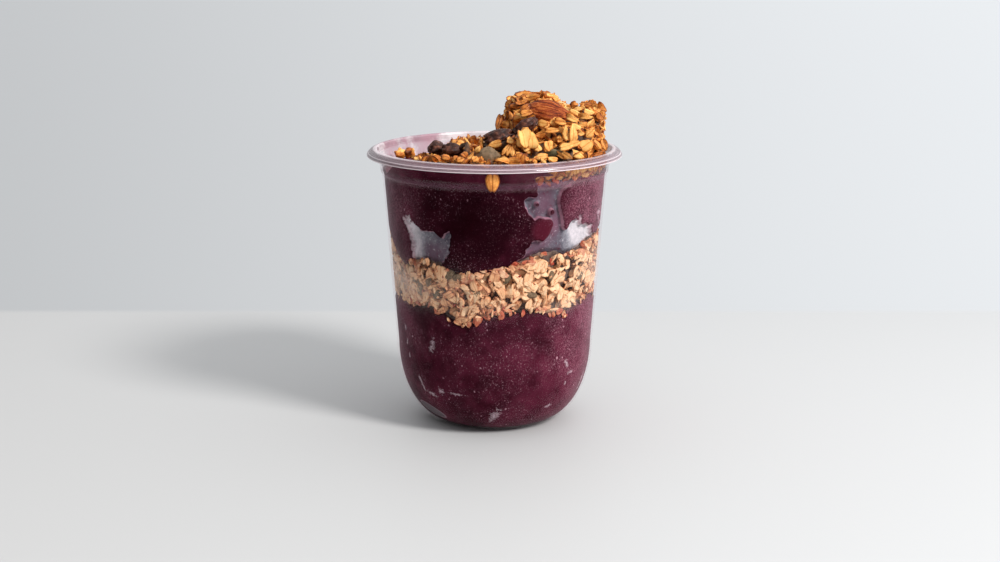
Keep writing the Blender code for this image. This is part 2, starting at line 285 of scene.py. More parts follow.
def finished(name, mesh, finish, slot, *nodes):
    """A piece of the visual model: it has its finish, rides with the part, and stands for its nodes."""
    piece = bpy.data.objects.new(name, mesh)
    bpy.context.scene.collection.objects.link(piece)
    mesh.materials.clear()
    mesh.materials.append(finish)
    mesh.shade_smooth()
    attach(piece, "root")
    if nodes:
        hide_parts(*nodes)


def spun(section, steps):
    """A bmesh turned from a section, given as (radius, height) pairs, round the cup's axis."""
    shape = bmesh.new()
    line = [shape.verts.new((radius, 0.0, height)) for radius, height in section]
    for start, end in zip(line, line[1:]):
        shape.edges.new((start, end))
    bmesh.ops.spin(
        shape,
        geom=shape.verts[:] + shape.edges[:],
        cent=(0, 0, 0),
        axis=(0, 0, 1),
        angle=2 * math.pi,
        steps=steps,
        use_merge=True,
    )
    bmesh.ops.remove_doubles(shape, verts=shape.verts[:], dist=1e-6)
    bmesh.ops.recalc_face_normals(shape, faces=shape.faces[:])
    return shape


def to_mesh(shape, name):
    mesh = bpy.data.meshes.new(name)
    shape.to_mesh(mesh)
    shape.free()
    return mesh


def corners_of(mesh):
    found = np.empty(len(mesh.vertices) * 3)
    mesh.vertices.foreach_get("co", found)
    return found.reshape(-1, 3)


def move_corners(mesh, places):
    mesh.vertices.foreach_set("co", np.ascontiguousarray(places, np.float64).ravel())
    mesh.update()


def store(mesh, name, values):
    """Keeps a number, or three, for each corner, which a finish reads by this name."""
    values = np.asarray(values, np.float32)
    kind, field = ("FLOAT", "value") if values.ndim == 1 else ("FLOAT_VECTOR", "vector")
    mesh.attributes.new(name, kind, "POINT").data.foreach_set(field, values.ravel())


def drum(name, base_rings, side_rings, top_rings, steps):
    """A closed drum of radius 1 and height 1, to be bent into a filling."""
    section = [(ring / base_rings, 0.0) for ring in range(base_rings)]
    section += [(1.0, ring / side_rings) for ring in range(side_rings + 1)]
    section += [(ring / top_rings, 1.0) for ring in reversed(range(top_rings))]
    return to_mesh(spun(section, steps), name)


def polar(mesh):
    """Each corner as distance out, angle and height, which on a drum are shares of its sizes."""
    places = corners_of(mesh)
    share = np.hypot(places[:, 0], places[:, 1])
    return share, np.degrees(np.arctan2(places[:, 1], places[:, 0])) % 360, places[:, 2]


def around(radius, angle, height):
    turn = np.radians(angle)
    return np.stack([radius * np.cos(turn), radius * np.sin(turn), height], 1)


# ---------------------------------------------------------------------------------------------------
# Finishes
# ---------------------------------------------------------------------------------------------------


class Number:
    """A number worked out by a finish's nodes. Python's operators on it add Math nodes."""

    def __init__(self, finish, socket):
        self.finish = finish
        self.socket = socket

    def math(self, operation, *values):
        return self.finish.node("Math", {"operation": operation}, dict(enumerate(values)))

    def __add__(self, other):
        return self.math("ADD", self, other)

    def __sub__(self, other):
        return self.math("SUBTRACT", self, other)

    def __rsub__(self, other):
        return self.math("SUBTRACT", other, self)

    def __mul__(self, other):
        return self.math("MULTIPLY", self, other)

    def __truediv__(self, other):
        return self.math("DIVIDE", self, other)

    def __pow__(self, other):
        return self.math("POWER", self, other)

    __radd__ = __add__
    __rmul__ = __mul__

    def most(self, other):
        return self.math("MAXIMUM", self, other)

    def least(self, other):
        return self.math("MINIMUM", self, other)

    def size(self):
        return self.math("ABSOLUTE", self)

    def between(self, low, high):
        """0 below the first value, 1 above the second, and smooth between them."""
        ends = {"Value": self, "From Min": low, "From Max": high}
        return self.finish.node("MapRange", {"interpolation_type": "SMOOTHSTEP"}, ends)


class Finish:
    """A material being built. Coordinates are in millimetres in the part's frame."""

    def __init__(self, name):
        self.material = bpy.data.materials.new(name)
        self.material.use_nodes = True
        self.tree = self.material.node_tree
        self.tree.nodes.clear()
        self.place = self.scaled(self.node("TexCoord", output="Object"), 1 / MM)
        self.x, self.y, self.z = self.parts(self.place)

    def node(self, kind, settings=None, values=None, output=0):
        """Adds a node: first its settings, then the values or links of its sockets. Gives one output."""
        made = self.tree.nodes.new("ShaderNode" + kind)
        for key, value in (settings or {}).items():
            if key == "stops":
                self.set_stops(made.color_ramp, value)
            else:
                setattr(made, key, value)
        for key, value in (values or {}).items():
            if isinstance(value, Number):
                self.tree.links.new(value.socket, made.inputs[key])
            elif isinstance(value, tuple) and len(value) == 3 and made.inputs[key].type == "RGBA":
                made.inputs[key].default_value = (*value, 1.0)
            else:
                made.inputs[key].default_value = value
        return Number(self, made.outputs[output])

    @staticmethod
    def set_stops(ramp, stops):
        while len(ramp.elements) < len(stops):
            ramp.elements.new(1.0)
        for element, (place, colour) in zip(ramp.elements, stops):
            element.position = place
            element.color = (*colour, 1.0)

    def noise(self, size, detail=2.0, roughness=0.5, where=None, output="Fac"):
        """Noise about 0.5 with features of a size in millimetres."""
        values = {"Vector": where or self.place, "Scale": 1 / size, "Detail": detail, "Roughness": roughness}
        return self.node("TexNoise", {}, values, output)

    def parts(self, vector):
        """The X, Y and Z of a vector."""
        return (self.node("SeparateXYZ", {}, {0: vector}, axis) for axis in "XYZ")

    def scaled(self, vector, factor):
        return self.node("VectorMath", {"operation": "SCALE"}, {0: vector, "Scale": factor})

    def warped(self, amount, size):
        """Coordinates pushed about by an amount, so that a pattern on them is ragged."""
        push = self.scaled(self.noise(size, 2.0, 0.6, output="Color"), amount)
        return self.node("VectorMath", {"operation": "ADD"}, {0: self.place, 1: push})

    def specks(self, size, radius, share, where):
        """Dots in a share of the cells of a size; the radius is in parts of a cell."""
        values = {"Vector": where, "Scale": 1 / size}
        spread, colour = (self.node("TexVoronoi", {}, values, output) for output in ("Distance", "Color"))
        chosen = self.node("SeparateColor", {}, {0: colour})
        return (1.0 - spread.between(radius * 0.4, radius)) * (1.0 - chosen.between(share, share + 0.05))

    def stored(self, name, output="Fac"):
        return self.node("Attribute", {"attribute_name": name}, output=output)

    def mix(self, share, first, second):
        """Two colours mixed."""
        return self.node("Mix", {"data_type": "RGBA"}, {0: share, 6: first, 7: second}, 2)

    def ramp(self, share, *stops):
        return self.node("ValToRGB", {"stops": stops}, {0: share})

    def blot(self, angle, height, half_width, half_height, lean=0.0):
        """1 in the middle of an oval on the cup's side, 0 at its edge, and below 0 beyond it."""
        turn = math.radians(angle)
        tilt = math.radians(lean)
        across = self.y * math.cos(turn) - self.x * math.sin(turn)
        up = self.z - height
        outwards = self.x * math.cos(turn) + self.y * math.sin(turn)
        wide = (across * math.cos(tilt) + up * math.sin(tilt)) / half_width
        tall = (up * math.cos(tilt) - across * math.sin(tilt)) / half_height
        return (1.0 - (wide * wide + tall * tall) ** 0.5) - 9.0 * (1.0 - outwards.between(0.0, 4.0))

    def surface(self, **sockets):
        """A Principled shader, with sockets named in words such as base_color."""
        names = {key: key.replace("_", " ").title().replace("Ior", "IOR") for key in sockets}
        return self.node("BsdfPrincipled", {}, {names[key]: value for key, value in sockets.items()})

    def skin(self, colour, roughness, height, depth, **sockets):
        """The material of a surface with relief from a height between 0 and 1, a depth in millimetres."""
        relief = self.node("Bump", {}, {"Height": height, "Distance": depth * MM, "Strength": 1.0})
        return self.shown(self.surface(base_color=colour, roughness=roughness, normal=relief, **sockets))

    def shown(self, shader):
        end = self.tree.nodes.new("ShaderNodeOutputMaterial")
        self.tree.links.new(shader.socket, end.inputs["Surface"])
        return self.material


# Places on the acai, as blots: its darkest part, the redder lobe in the right pocket, thicker frost (each
# with its strength), and the grey patch by the foot.
DARKEST = (263.0, 80.0, 17.0, 17.0)
LOBE = (297.5, 78.5, 7.0, 6.0)
FROSTY = (((276.0, 83.0, 9.0, 8.0), 0.14), ((323.0, 85.0, 7.0, 8.0), 0.16))
FOOT_PATCH = (219.0, 7.2, 6.5, 2.3, -16.0)


def frozen_acai():
    """Dense purple puree, with a fine frost of ice where it is pressed against the plastic. Its colour,
    frost and ice are painted paler towards the right, as painted light, and paler at both sides, as painted
    sheen.
    """
    finish = Finish("frozen_acai")
    air = finish.stored("air")
    fray = finish.noise(0.9, 3.0, 0.7) - 0.5
    in_pocket = (air + fray * 1.6).between(-0.1, 0.5)
    mottle = finish.noise(8.0, 4.0, 0.62)
    low = 1.0 - finish.z.between(30.0, 66.0)
    # Painted light: the acai's colour, frost and ice grow paler towards the right, where the key light
    # falls.
    right = finish.x.between(6.0, 38.0)
    dark = finish.blot(*DARKEST).between(0.0, 0.5)
    collar = finish.z.between(NECK_MM + 1.0, NECK_MM + 2.6)
    depth = finish.ramp(
        mottle * 0.6 + finish.noise(22.0) * 0.3 + low * 0.13 + right * 0.13 + collar * 0.2,
        (0.3, (0.011, 0.0007, 0.0024)),
        (0.5, (0.031, 0.0032, 0.0085)),
        (0.72, (0.095, 0.013, 0.03)),
    )
    depth = finish.mix(dark * 0.75, depth, (0.009, 0.0006, 0.002))
    lobe = finish.blot(*LOBE).between(0.0, 0.5)
    depth = finish.mix(lobe * 0.55, depth, (0.105, 0.012, 0.026))
    grain = finish.noise(0.6, 3.0, 0.75)
    zone = finish.noise(11.0, 3.0, 0.6)
    for spot, strength in FROSTY:
        zone = zone + finish.blot(*spot).between(0.0, 0.6) * strength
    # Painted sheen: the acai's colour and frost grow paler at the left and right sides.
    sides = finish.x.size().between(22.0, 40.0)
    foot = 1.0 - finish.z.between(5.0, 17.0)
    # Real frost, made stronger towards the right as painted light and at the sides as painted sheen.
    veil = right * 0.3 + low * 0.05 + sides * 0.34 + foot * 0.1 + 0.012
    veil = veil * grain.between(0.4, 0.66) * zone.between(0.25, 0.6)
    depth = finish.mix(sides * 0.32, depth, (0.16, 0.045, 0.075))
    frosted = finish.mix(veil * (1.0 - collar * 0.7), depth, (0.44, 0.17, 0.235))
    ragged = finish.warped(1.2, 1.8)
    upright = finish.node("VectorMath", {"operation": "MULTIPLY"}, {0: ragged, 1: (1, 1, 0.8)})
    streaks = finish.noise(0.6, 4.0, 0.75, upright).between(0.56, 0.7) * zone.between(0.42, 0.6) * 0.65
    dots = finish.specks(0.72, 0.33, 0.36, upright) * (0.2 + 0.8 * zone.between(0.4, 0.58)) * 0.55
    stars = finish.specks(2.3, 0.18, 0.24, upright) * zone.between(0.38, 0.56)
    pressed = finish.stored("pressed")
    ice = streaks.most(dots).most(stars) * (0.55 + 0.2 * low + 0.3 * right)
    ice = ice * (1.0 - dark * 0.7) * (1.0 - collar)
    frosted = finish.mix(ice * pressed, frosted, (0.5, 0.27, 0.33))
    frosted = finish.mix(ice_smears(finish), frosted, (0.5, 0.38, 0.42))
    patch = finish.blot(*FOOT_PATCH) + fray * 0.12
    frosted = finish.mix(patch.between(0.02, 0.1), frosted, (0.14, 0.115, 0.125))
    outline = 1.0 - (patch - 0.04).size().between(0.02, 0.07)
    frosted = finish.mix(outline * 0.7 * patch.between(-0.1, 0.0), frosted, (0.42, 0.3, 0.34))
    shown = finish.mix(in_pocket, frosted, air_film(finish, air))
    # A pale pink line along the pockets' edges, painted paler where light gets in: painted light.
    line = 1.0 - (air - 0.12 + fray * 0.3).size().between(0.1, 0.4)
    bright = finish.mix(finish.stored("light").least(1.0), (0.4, 0.19, 0.25), (0.8, 0.66, 0.7))
    shown = finish.mix(line * (0.45 + 0.4 * finish.noise(3.0).between(0.4, 0.6)), shown, bright)
    cream = finish.mix(mottle.between(0.35, 0.65), (0.05, 0.007, 0.014), (0.125, 0.024, 0.042))
    shown = finish.mix(pressed, cream, shown)
    swirl = finish.noise(5.0, 3.0, 0.55, finish.warped(5.0, 9.0))
    relief = swirl * (1.0 - pressed) + (mottle * 0.1 + grain * 0.05) * pressed
    rough = 0.28 + 0.16 * pressed + 0.3 * veil + 0.2 * in_pocket
    return finish.skin(shown, rough, relief, 1.6, specular_ior_level=0.01)


# Ice smears on the lower acai: angle, height, half width, half height in millimetres, lean in degrees.
SMEARS = (
    (232, 34.5, 1.7, 4.2, -18), (220, 18.5, 0.9, 4.4, 22), (228, 15.2, 3.6, 1.1, -14),
    (236, 17.0, 1.6, 2.0, 30), (246, 16.8, 4.2, 0.6, -4), (270, 8.2, 2.0, 4.6, -28),
    (317, 26.5, 1.2, 2.6, 24), (321, 22.6, 1.8, 1.0, 0), (318, 18.8, 0.9, 1.3, 0),
    (340, 16.0, 1.4, 5.0, -20), (308, 10.5, 2.6, 0.8, 10), (208, 33.0, 0.8, 1.6, 0),
    (207, 38.5, 0.9, 1.8, 12), (210, 28.0, 0.7, 1.4, 0), (75, 22.0, 3.0, 1.4, 15),
    (120, 34.0, 1.4, 3.4, -20), (30, 30.0, 2.2, 1.2, 35), (160, 20.0, 2.8, 1.0, -10),
)  # fmt: skip


def ice_smears(finish):
    """Smears and scratches of ice under the plastic."""
    ragged = finish.noise(1.1, 4.0, 0.75) - 0.5
    found = None
    for smear in SMEARS:
        blot = finish.blot(*smear)
        found = blot if found is None else found.most(blot)
    broken = 0.45 + 0.55 * finish.noise(0.5, 2.0, 0.7).between(0.4, 0.6)
    return (found + ragged * 3.2).between(0.15, 0.8) * found.between(-0.8, 0.1) * broken


def air_film(finish, air):
    """What shows in a pocket of air: a wet grey film, paler where light gets in and along its edge."""
    cloud = finish.noise(4.5, 3.0, 0.6)
    wisps = finish.noise(1.6, 4.0, 0.7, finish.warped(3.0, 4.0))
    brim = (1.0 - (air - 0.8).size().between(0.1, 0.9)) * cloud.between(0.42, 0.62)
    light = finish.stored("light")
    shade = light * 0.85 + 0.11 + (cloud - 0.5) * 0.4 + (wisps - 0.5) * 0.4 + brim * 0.15
    pale = finish.ramp(
        shade,
        (0.0, (0.1, 0.055, 0.08)),
        (0.25, (0.12, 0.115, 0.14)),
        (0.5, (0.3, 0.3, 0.33)),
        (0.75, (0.62, 0.585, 0.61)),
        (1.0, (0.84, 0.78, 0.81)),
    )
    pale = finish.mix(finish.stored("blush").least(1.0) * (0.2 + 0.8 * cloud), pale, (0.24, 0.085, 0.135))
    streak = finish.noise(1.4, 3.0, 0.65).between(0.58, 0.7)
    threads = (finish.noise(0.9, 3.0, 0.7, finish.warped(2.0, 3.0)) + light * 0.1).between(0.6, 0.7)
    pale = finish.mix(threads * 0.4, pale, (0.75, 0.68, 0.7))
    return finish.mix(streak * (0.6 - light.least(0.6)), pale, (0.13, 0.03, 0.05))


def clear_plastic():
    """Thin clear plastic. It mirrors at a slant, is milky along the lip, and has a film where it was
    filled. Thin bright lines along the lip's lower edge, above it and along its crest are painted
    highlights."""
    finish = Finish("clear_plastic")
    slant = finish.node("LayerWeight", {}, {"Blend": 0.5}, "Facing")
    outer = finish.stored("outer")
    cloud = finish.noise(7.0, 3.0, 0.6)
    lip = finish.z.between(NECK_MM + 5.6, NECK_MM + 7.2)
    # Painted highlights: bright lines along the lip's lower edge, along a line above it and along its crest.
    edge = 1.0 - (finish.z - (NECK_MM + 6.45)).size().between(0.06, 0.26)
    second = 1.0 - (finish.z - (NECK_MM + 7.5)).size().between(0.04, 0.2)
    crest = finish.z.between(RIM_MM - 0.4, RIM_MM - 0.1)
    ring = 1.0 - (finish.z - (NECK_MM + 0.6)).size().between(0.3, 2.2)
    collar = finish.z.between(NECK_MM + 0.4, NECK_MM + 1.6)
    back = finish.y.between(-2.0, 14.0)
    film = collar * back * (0.3 + 0.9 * cloud) * (1.0 - outer)
    # Milky patches of condensation; at the left they also stand for painted fill light.
    veil = finish.stored("veil") * (0.3 + 1.4 * finish.noise(2.6, 3.0, 0.6))
    dirt = finish.stored("smear") * (0.45 + 0.8 * cloud)
    sides = (finish.x * -1.0).most(finish.x * 0.7).between(22.0, 45.0)
    haze = (lip * (0.42 + sides * 0.26)).most(film).most(ring * 0.22 * (0.5 + cloud))
    haze = haze.most(edge * 0.85).most(second * 0.6).most(crest * 0.45).most(veil).most(dirt).least(0.95)
    left = finish.x.between(-8.0, -30.0) * back
    wiped = finish.noise(9.0, 4.0, 0.6, finish.warped(6.0, 8.0))
    smeared = (left * 0.32 + wiped).between(0.56, 0.82) * collar * back
    edging = finish.mix(sides * 0.8, (0.25, 0.145, 0.175), (0.13, 0.085, 0.1))
    milky = finish.mix(ring, finish.mix(lip, (0.5, 0.38, 0.38), edging), (0.32, 0.12, 0.19))
    milky = finish.mix(film.between(0.02, 0.2), milky, (0.8, 0.73, 0.75))
    # The painted highlight lines are whitish.
    milky = finish.mix((edge + crest + second).least(1.0), milky, (0.85, 0.72, 0.76))
    dew = finish.mix(cloud.between(0.42, 0.58), (0.97, 0.77, 0.67), (0.82, 0.7, 0.62))
    milky = finish.mix(veil.between(0.02, 0.1) * (1.0 - collar), milky, dew)
    milky = finish.mix(dirt.between(0.05, 0.3), milky, (0.23, 0.08, 0.1))
    milky = finish.mix(smeared * 0.8, milky, (0.33, 0.125, 0.185))
    clear = finish.node("BsdfTransparent", {}, {"Color": (0.975, 0.97, 0.975)})
    gloss = finish.node("BsdfGlossy", {}, {"Color": (1.0, 0.93, 0.95), "Roughness": 0.13})
    body = finish.surface(base_color=milky, roughness=0.25)
    mirror = (slant**5.0) * (0.1 + 0.3 * outer) + 0.03 * lip
    sheen = finish.node("MixShader", {}, {0: mirror, 1: clear, 2: gloss})
    return finish.shown(finish.node("MixShader", {}, {0: haze, 1: sheen, 2: body}))


DRY_OAT = (
    (0.0, (0.92, 0.535, 0.17)),
    (0.22, (0.8, 0.34, 0.072)),
    (0.46, (0.52, 0.147, 0.018)),
    (0.7, (0.2, 0.043, 0.007)),
    (1.0, (0.05, 0.011, 0.004)),
)
STEEPED_OAT = (
    (0.0, (0.96, 0.65, 0.39)),
    (0.34, (0.88, 0.47, 0.235)),
    (0.62, (0.58, 0.225, 0.105)),
    (0.83, (0.26, 0.085, 0.052)),
    (1.0, (0.08, 0.022, 0.018)),
)


def oats(name, shades):
    """Rolled oats: pale inside, browner at the edge, partly from toasting and partly as painted shade, and
    along the crease, with streaks of bran.
    """
    finish = Finish(name)
    tone = finish.stored("tone")
    stain = finish.stored("stain")
    along, across, _ = finish.parts(finish.stored("local", "Vector"))
    # Browner towards the edge: partly toasting, partly painted shade that outlines each flake.
    rim = (along * along + across * across).between(0.5, 1.0)
    crease = 1.0 - across.size().between(0.02, 0.14)
    streaked = finish.node("CombineXYZ", {}, {0: along * 1.2, 1: across * 8.0, 2: tone * 31.0})
    bran = finish.noise(1.0, 3.0, 0.65, streaked)
    speckle = finish.noise(0.7, 3.0, 0.7)
    honey = finish.noise(2.6, 2.0, 0.5)
    toast = tone * 0.6 + rim * 0.36 + crease * 0.28 - 0.03 + (bran - 0.5) * 0.65 + (speckle - 0.5) * 0.4
    toast = toast + (honey - 0.5) * 0.6
    colour = finish.ramp(toast, *shades)
    wet = stain.between(0.2, 0.8) * honey.between(0.25, 0.6)
    colour = finish.mix(wet * 0.72, colour, (0.45, 0.033, 0.018))
    relief = bran * 0.5 + speckle * 0.5
    return finish.skin(colour, 0.6 - 0.25 * tone, relief, 0.35, specular_ior_level=0.3)


def granola_core(name, *shades):
    """The shaded inside of the granola, seen between the flakes."""
    finish = Finish(name)
    lumps = finish.noise(3.0, 4.0, 0.65)
    return finish.skin(finish.ramp(lumps, *shades), 0.7, lumps, 1.2)


def almond_skin():
    """Brown papery skin with long grooves."""
    finish = Finish("almond_skin")
    along, across, thick = finish.parts(finish.stored("local", "Vector"))
    streaked = finish.node("CombineXYZ", {}, {0: along * 0.9, 1: across * 6.5, 2: thick * 6.5})
    groove = finish.noise(1.0, 4.0, 0.6, streaked)
    dust = finish.noise(0.35, 2.0, 0.6)
    colour = finish.ramp(
        groove + (dust - 0.5) * 0.25,
        (0.34, (0.045, 0.006, 0.002)),
        (0.49, (0.25, 0.037, 0.006)),
        (0.63, (0.53, 0.148, 0.034)),
    )
    colour = finish.mix((along * -1.0).between(0.45, 1.0) * 0.6, colour, (0.05, 0.008, 0.003))
    return finish.skin(colour, 0.55, groove, 0.5, specular_ior_level=0.15)


def raisin_skin():
    """Dark wrinkled skin, a little sticky."""
    finish = Finish("raisin_skin")
    wrinkle = finish.noise(1.6, 4.0, 0.6)
    shades = (0.3, (0.011, 0.003, 0.002)), (0.52, (0.06, 0.016, 0.009)), (0.75, (0.27, 0.1, 0.058))
    return finish.skin(finish.ramp(wrinkle, *shades), 0.42, wrinkle, 0.5, specular_ior_level=0.28)


def seed_skin():
    """Green-grey pumpkin seed, paler along its edge."""
    finish = Finish("seed_skin")
    tone = finish.stored("tone")
    along, across, _ = finish.parts(finish.stored("local", "Vector"))
    rim = (along * along + across * across).between(0.7, 1.0)
    mottle = finish.noise(1.1, 4.0, 0.65)
    colour = finish.mix(tone, (0.07, 0.064, 0.028), (0.25, 0.16, 0.095))
    colour = finish.mix(mottle.between(0.35, 0.7) * 0.6, colour, (0.03, 0.024, 0.012))
    colour = finish.mix(rim * 0.4, colour, (0.3, 0.22, 0.12))
    return finish.skin(colour, 0.5, mottle, 0.35, specular_ior_level=0.15)


def pale_nut():
    """Cut nut and puffed grain: cream, a little browned by the oven."""
    finish = Finish("pale_nut")
    mottle = finish.noise(1.8, 4.0, 0.6)
    tone = finish.stored("tone")
    colour = finish.ramp(
        mottle * 0.6 + tone * 0.5,
        (0.25, (0.87, 0.66, 0.4)),
        (0.55, (0.72, 0.42, 0.17)),
        (0.8, (0.4, 0.16, 0.05)),
    )
    return finish.skin(colour, 0.5, finish.noise(0.6, 3.0, 0.6), 0.15)


# ---------------------------------------------------------------------------------------------------
# The cup and the acai
# ---------------------------------------------------------------------------------------------------


# Faint milky patches of condensation on the cup, which at the left also stand for painted fill light, and
# acai
# smeared up the inside of its collar: angle, height, half width and half height in millimetres, strength.
MILKY_PATCHES_AND_PAINTED_LIGHT = (
    (197, 60, 9, 8.5, 0.32), (213, 57, 9, 6, 0.3), (228, 54, 9, 5, 0.15), (246, 59, 10, 6, 0.07),
    (262, 50, 18, 4, 0.06), (344, 61, 9, 10, 0.18), (325, 62, 9, 7, 0.08), (312, 49.5, 10, 2.5, 0.14),
    (318, 98, 20, 2.6, 0.18), (20, 60, 20, 10, 0.14), (100, 58, 22, 9, 0.16), (150, 60, 14, 10, 0.14),
)  # fmt: skip
SMEARED_COLLAR = (
    (215, 100.5, 14, 2.6, 0.8), (240, 101.0, 14, 2.4, 0.9), (262, 101.2, 14, 2.3, 0.9),
    (282, 101.0, 9, 2.3, 0.8), (196, 99.0, 8, 3.0, 0.6),
)  # fmt: skip


def filled_in(section, step):
    """A section with more places where two neighbours are further apart than a step."""
    found = [section[0]]
    for start, end in zip(section, section[1:]):
        count = math.ceil(math.dist(start, end) / step)
        found += [tuple(Vector(start).lerp(Vector(end), share / count)) for share in range(1, count + 1)]
    return found


def make_cup():
    floor = WALL + DISH_DEPTH
    dish = [(0.0, floor), (DISH_RADIUS - WALL, floor), (DISH_RADIUS + 1 * MM, WALL)]
    lip = smooth_line(beyond_neck(COLLAR_INSIDE[-1:] + LIP_TOP + LIP_UNDERSIDE + COLLAR_OUTSIDE), 4)[1:]
    foot = [(DISH_RADIUS + 1.4 * MM, 0.0), (DISH_RADIUS, DISH_DEPTH), (0.0, DISH_DEPTH)]
    section = dish + INSIDE + [tuple(p) for p in lip] + corner(0.0)[::-1] + foot
    mesh = to_mesh(spun(filled_in(section, 2 * MM), 160), "clear_cup")
    radius, angle, height = polar(mesh)
    outer = smooth_step((radius - wall_inside(height) - 0.3 * WALL) / (0.5 * WALL))
    store(mesh, "outer", outer)
    store(mesh, "veil", blots(MILKY_PATCHES_AND_PAINTED_LIGHT, angle, height) * outer)
    store(mesh, "smear", blots(SMEARED_COLLAR, angle, height) * (1 - outer))
    finished("clear_cup", mesh, clear_plastic(), "clear_plastic", "cup")


def make_lower_acai(finish):
    mesh = drum("lower_acai", 14, 90, 8, 360)
    share, angle, up = polar(mesh)
    foot = DISH_DEPTH * smooth_step((DISH_RADIUS + 1 * MM - share * FOOT_RADIUS) / (1.5 * MM))
    low = WALL - 0.1 * MM + foot
    rough_edge = 0.5 * MM * noise_at(around(NECK_RADIUS, angle, up * 0), 2.2 * MM)
    high = level(GRANOLA_FLOOR, FLOOR_MEAN, angle, share) + rough_edge
    height = low + (high - low) * up**1.6
    top = smooth_step(1 - (high - height) / (2.4 * MM))
    radius = wall_inside(height) + INTO_WALL - 1.3 * MM * top
    places = around(share * radius, angle, height)
    move_corners(mesh, places)
    store(mesh, "air", np.full(len(places), NO_AIR))
    store(mesh, "pressed", np.ones(len(places)))
    finished("lower_acai", mesh, finish, "frozen_acai", "acai_lower")


def make_upper_acai(finish):
    mesh = drum("upper_acai", 6, 76, 44, 560)
    share, angle, up = polar(mesh)
    rough_edge = 0.5 * MM * noise_at(around(NECK_RADIUS, angle, up * 0), 2.0 * MM, 3.0)
    low = level(GRANOLA_CEILING, CEILING_MEAN, angle, share) + rough_edge
    top = acai_surface(angle, share)
    height = low + (top - low) * up
    wall = wall_inside(height) + INTO_WALL
    air = air_at_wall(around(wall, angle, height), angle, height)
    hollow = POCKET_DEPTH * smooth_step(air / POCKET_EDGE + 0.35)
    foot = 1.0 * MM * smooth_step(1 - (height - low) / (1.8 * MM))
    places = around(share * (wall - hollow - foot), angle, height)
    scooped = (up > 0.999) & (share < 0.985)
    lumps = 1.1 * np.abs(noise_at(places, 11 * MM)) + 0.35 * noise_at(places, 3.2 * MM)
    places[:, 2] += np.where(scooped, lumps * MM, 0.0)
    move_corners(mesh, places)
    store(mesh, "air", np.where(share > 0.98, air, NO_AIR))
    store(mesh, "pressed", np.where(scooped, 0.0, 1.0))
    cap = np.where(places[:, 0] > 0, AIR_LIGHT_CAP_RIGHT, AIR_LIGHT_CAP_LEFT)
    store(mesh, "light", np.minimum(blots(AIR_LIGHT, angle, height), cap))
    store(mesh, "blush", blots(AIR_BLUSH, angle, height))
    finished("upper_acai", mesh, finish, "frozen_acai", "acai_upper")


# ---------------------------------------------------------------------------------------------------
# Small things, and scattering them
# ---------------------------------------------------------------------------------------------------


def ball(columns, rows):
    """A unit sphere with its poles along X, as corners and faces."""
    shape = bmesh.new()
    bmesh.ops.create_uvsphere(shape, u_segments=columns, v_segments=rows, radius=1.0)
    tip = Matrix.Rotation(math.pi / 2, 3, "Y")
    bmesh.ops.rotate(shape, verts=shape.verts[:], cent=(0, 0, 0), matrix=tip)
    shape.verts.index_update()
    corners = np.array([corner.co for corner in shape.verts])
    faces = [tuple(corner.index for corner in face.verts) for face in shape.faces]
    shape.free()
    return corners, faces


def flake(seed, wide, thickness, curl, fold=0.0, ragged=1.0):
    """A rolled oat, 2 long: a thin ragged plate, creased or folded along its middle, often split."""
    corners, faces = ball(10, 8)
    own = corners.copy()
    x, y, z = corners.T
    outline = corners * np.array([1, 1, 0]) + seed * 3.1
    out = 1 + ragged * (0.3 * noise_at(outline, 0.9) + 0.14 * noise_at(outline, 0.4))
    crease = 0.5 * np.exp(-((y / 0.22) ** 2)) * (1 - x * x)
    split = 0.2 * np.exp(-((y / 0.13) ** 2)) * smooth_step((np.abs(x) - 0.55) / 0.4)
    point = 1 - 0.12 * ragged * smooth_step((np.abs(x) - 0.5) / 0.5)
    x = x * out * (1 - split)
    y = y * wide * out * point * (1 - 0.3 * x * math.cos(seed))
    z = np.clip(z * 1.7, -1, 1) * thickness * (1 - crease)
    z = z + curl * (0.5 * x * x - 0.8 * y * y) * math.sin(seed * 2.3 + 0.6)
    z = z + 0.4 * x * y * math.cos(seed * 1.9)
    z = z + fold * np.abs(y) + 0.2 * noise_at(np.stack([x, y, 0 * z + seed], 1), 0.6)
    return np.stack([x, y, z], 1), faces, own


def chunk(seed, columns, rows, rough, size=0.9):
    """A broken crumb or a piece of nut, 2 across."""
    corners, faces = ball(columns, rows)
    out = 1 + rough * noise_at(corners + seed * 1.7, size)
    return corners * out[:, None], faces, corners


def turned(normal, spin):
    """Axes of a thing whose flat side faces along a normal, spun about it by an angle in radians."""
    normal = Vector(normal).normalized()
    side = normal.orthogonal().normalized()
    side = Matrix.Rotation(spin, 3, normal) @ side
    return np.array([side, normal.cross(side), normal]).T


def random_normal(spread, about):
    """A direction within a spread of another: 0 keeps it, and 1 takes it almost anywhere."""
    wander = Vector([dice.gauss(0, 1) for _ in range(3)]).normalized()
    return (Vector(about).normalized() * (1 - spread) + wander * spread).normalized()


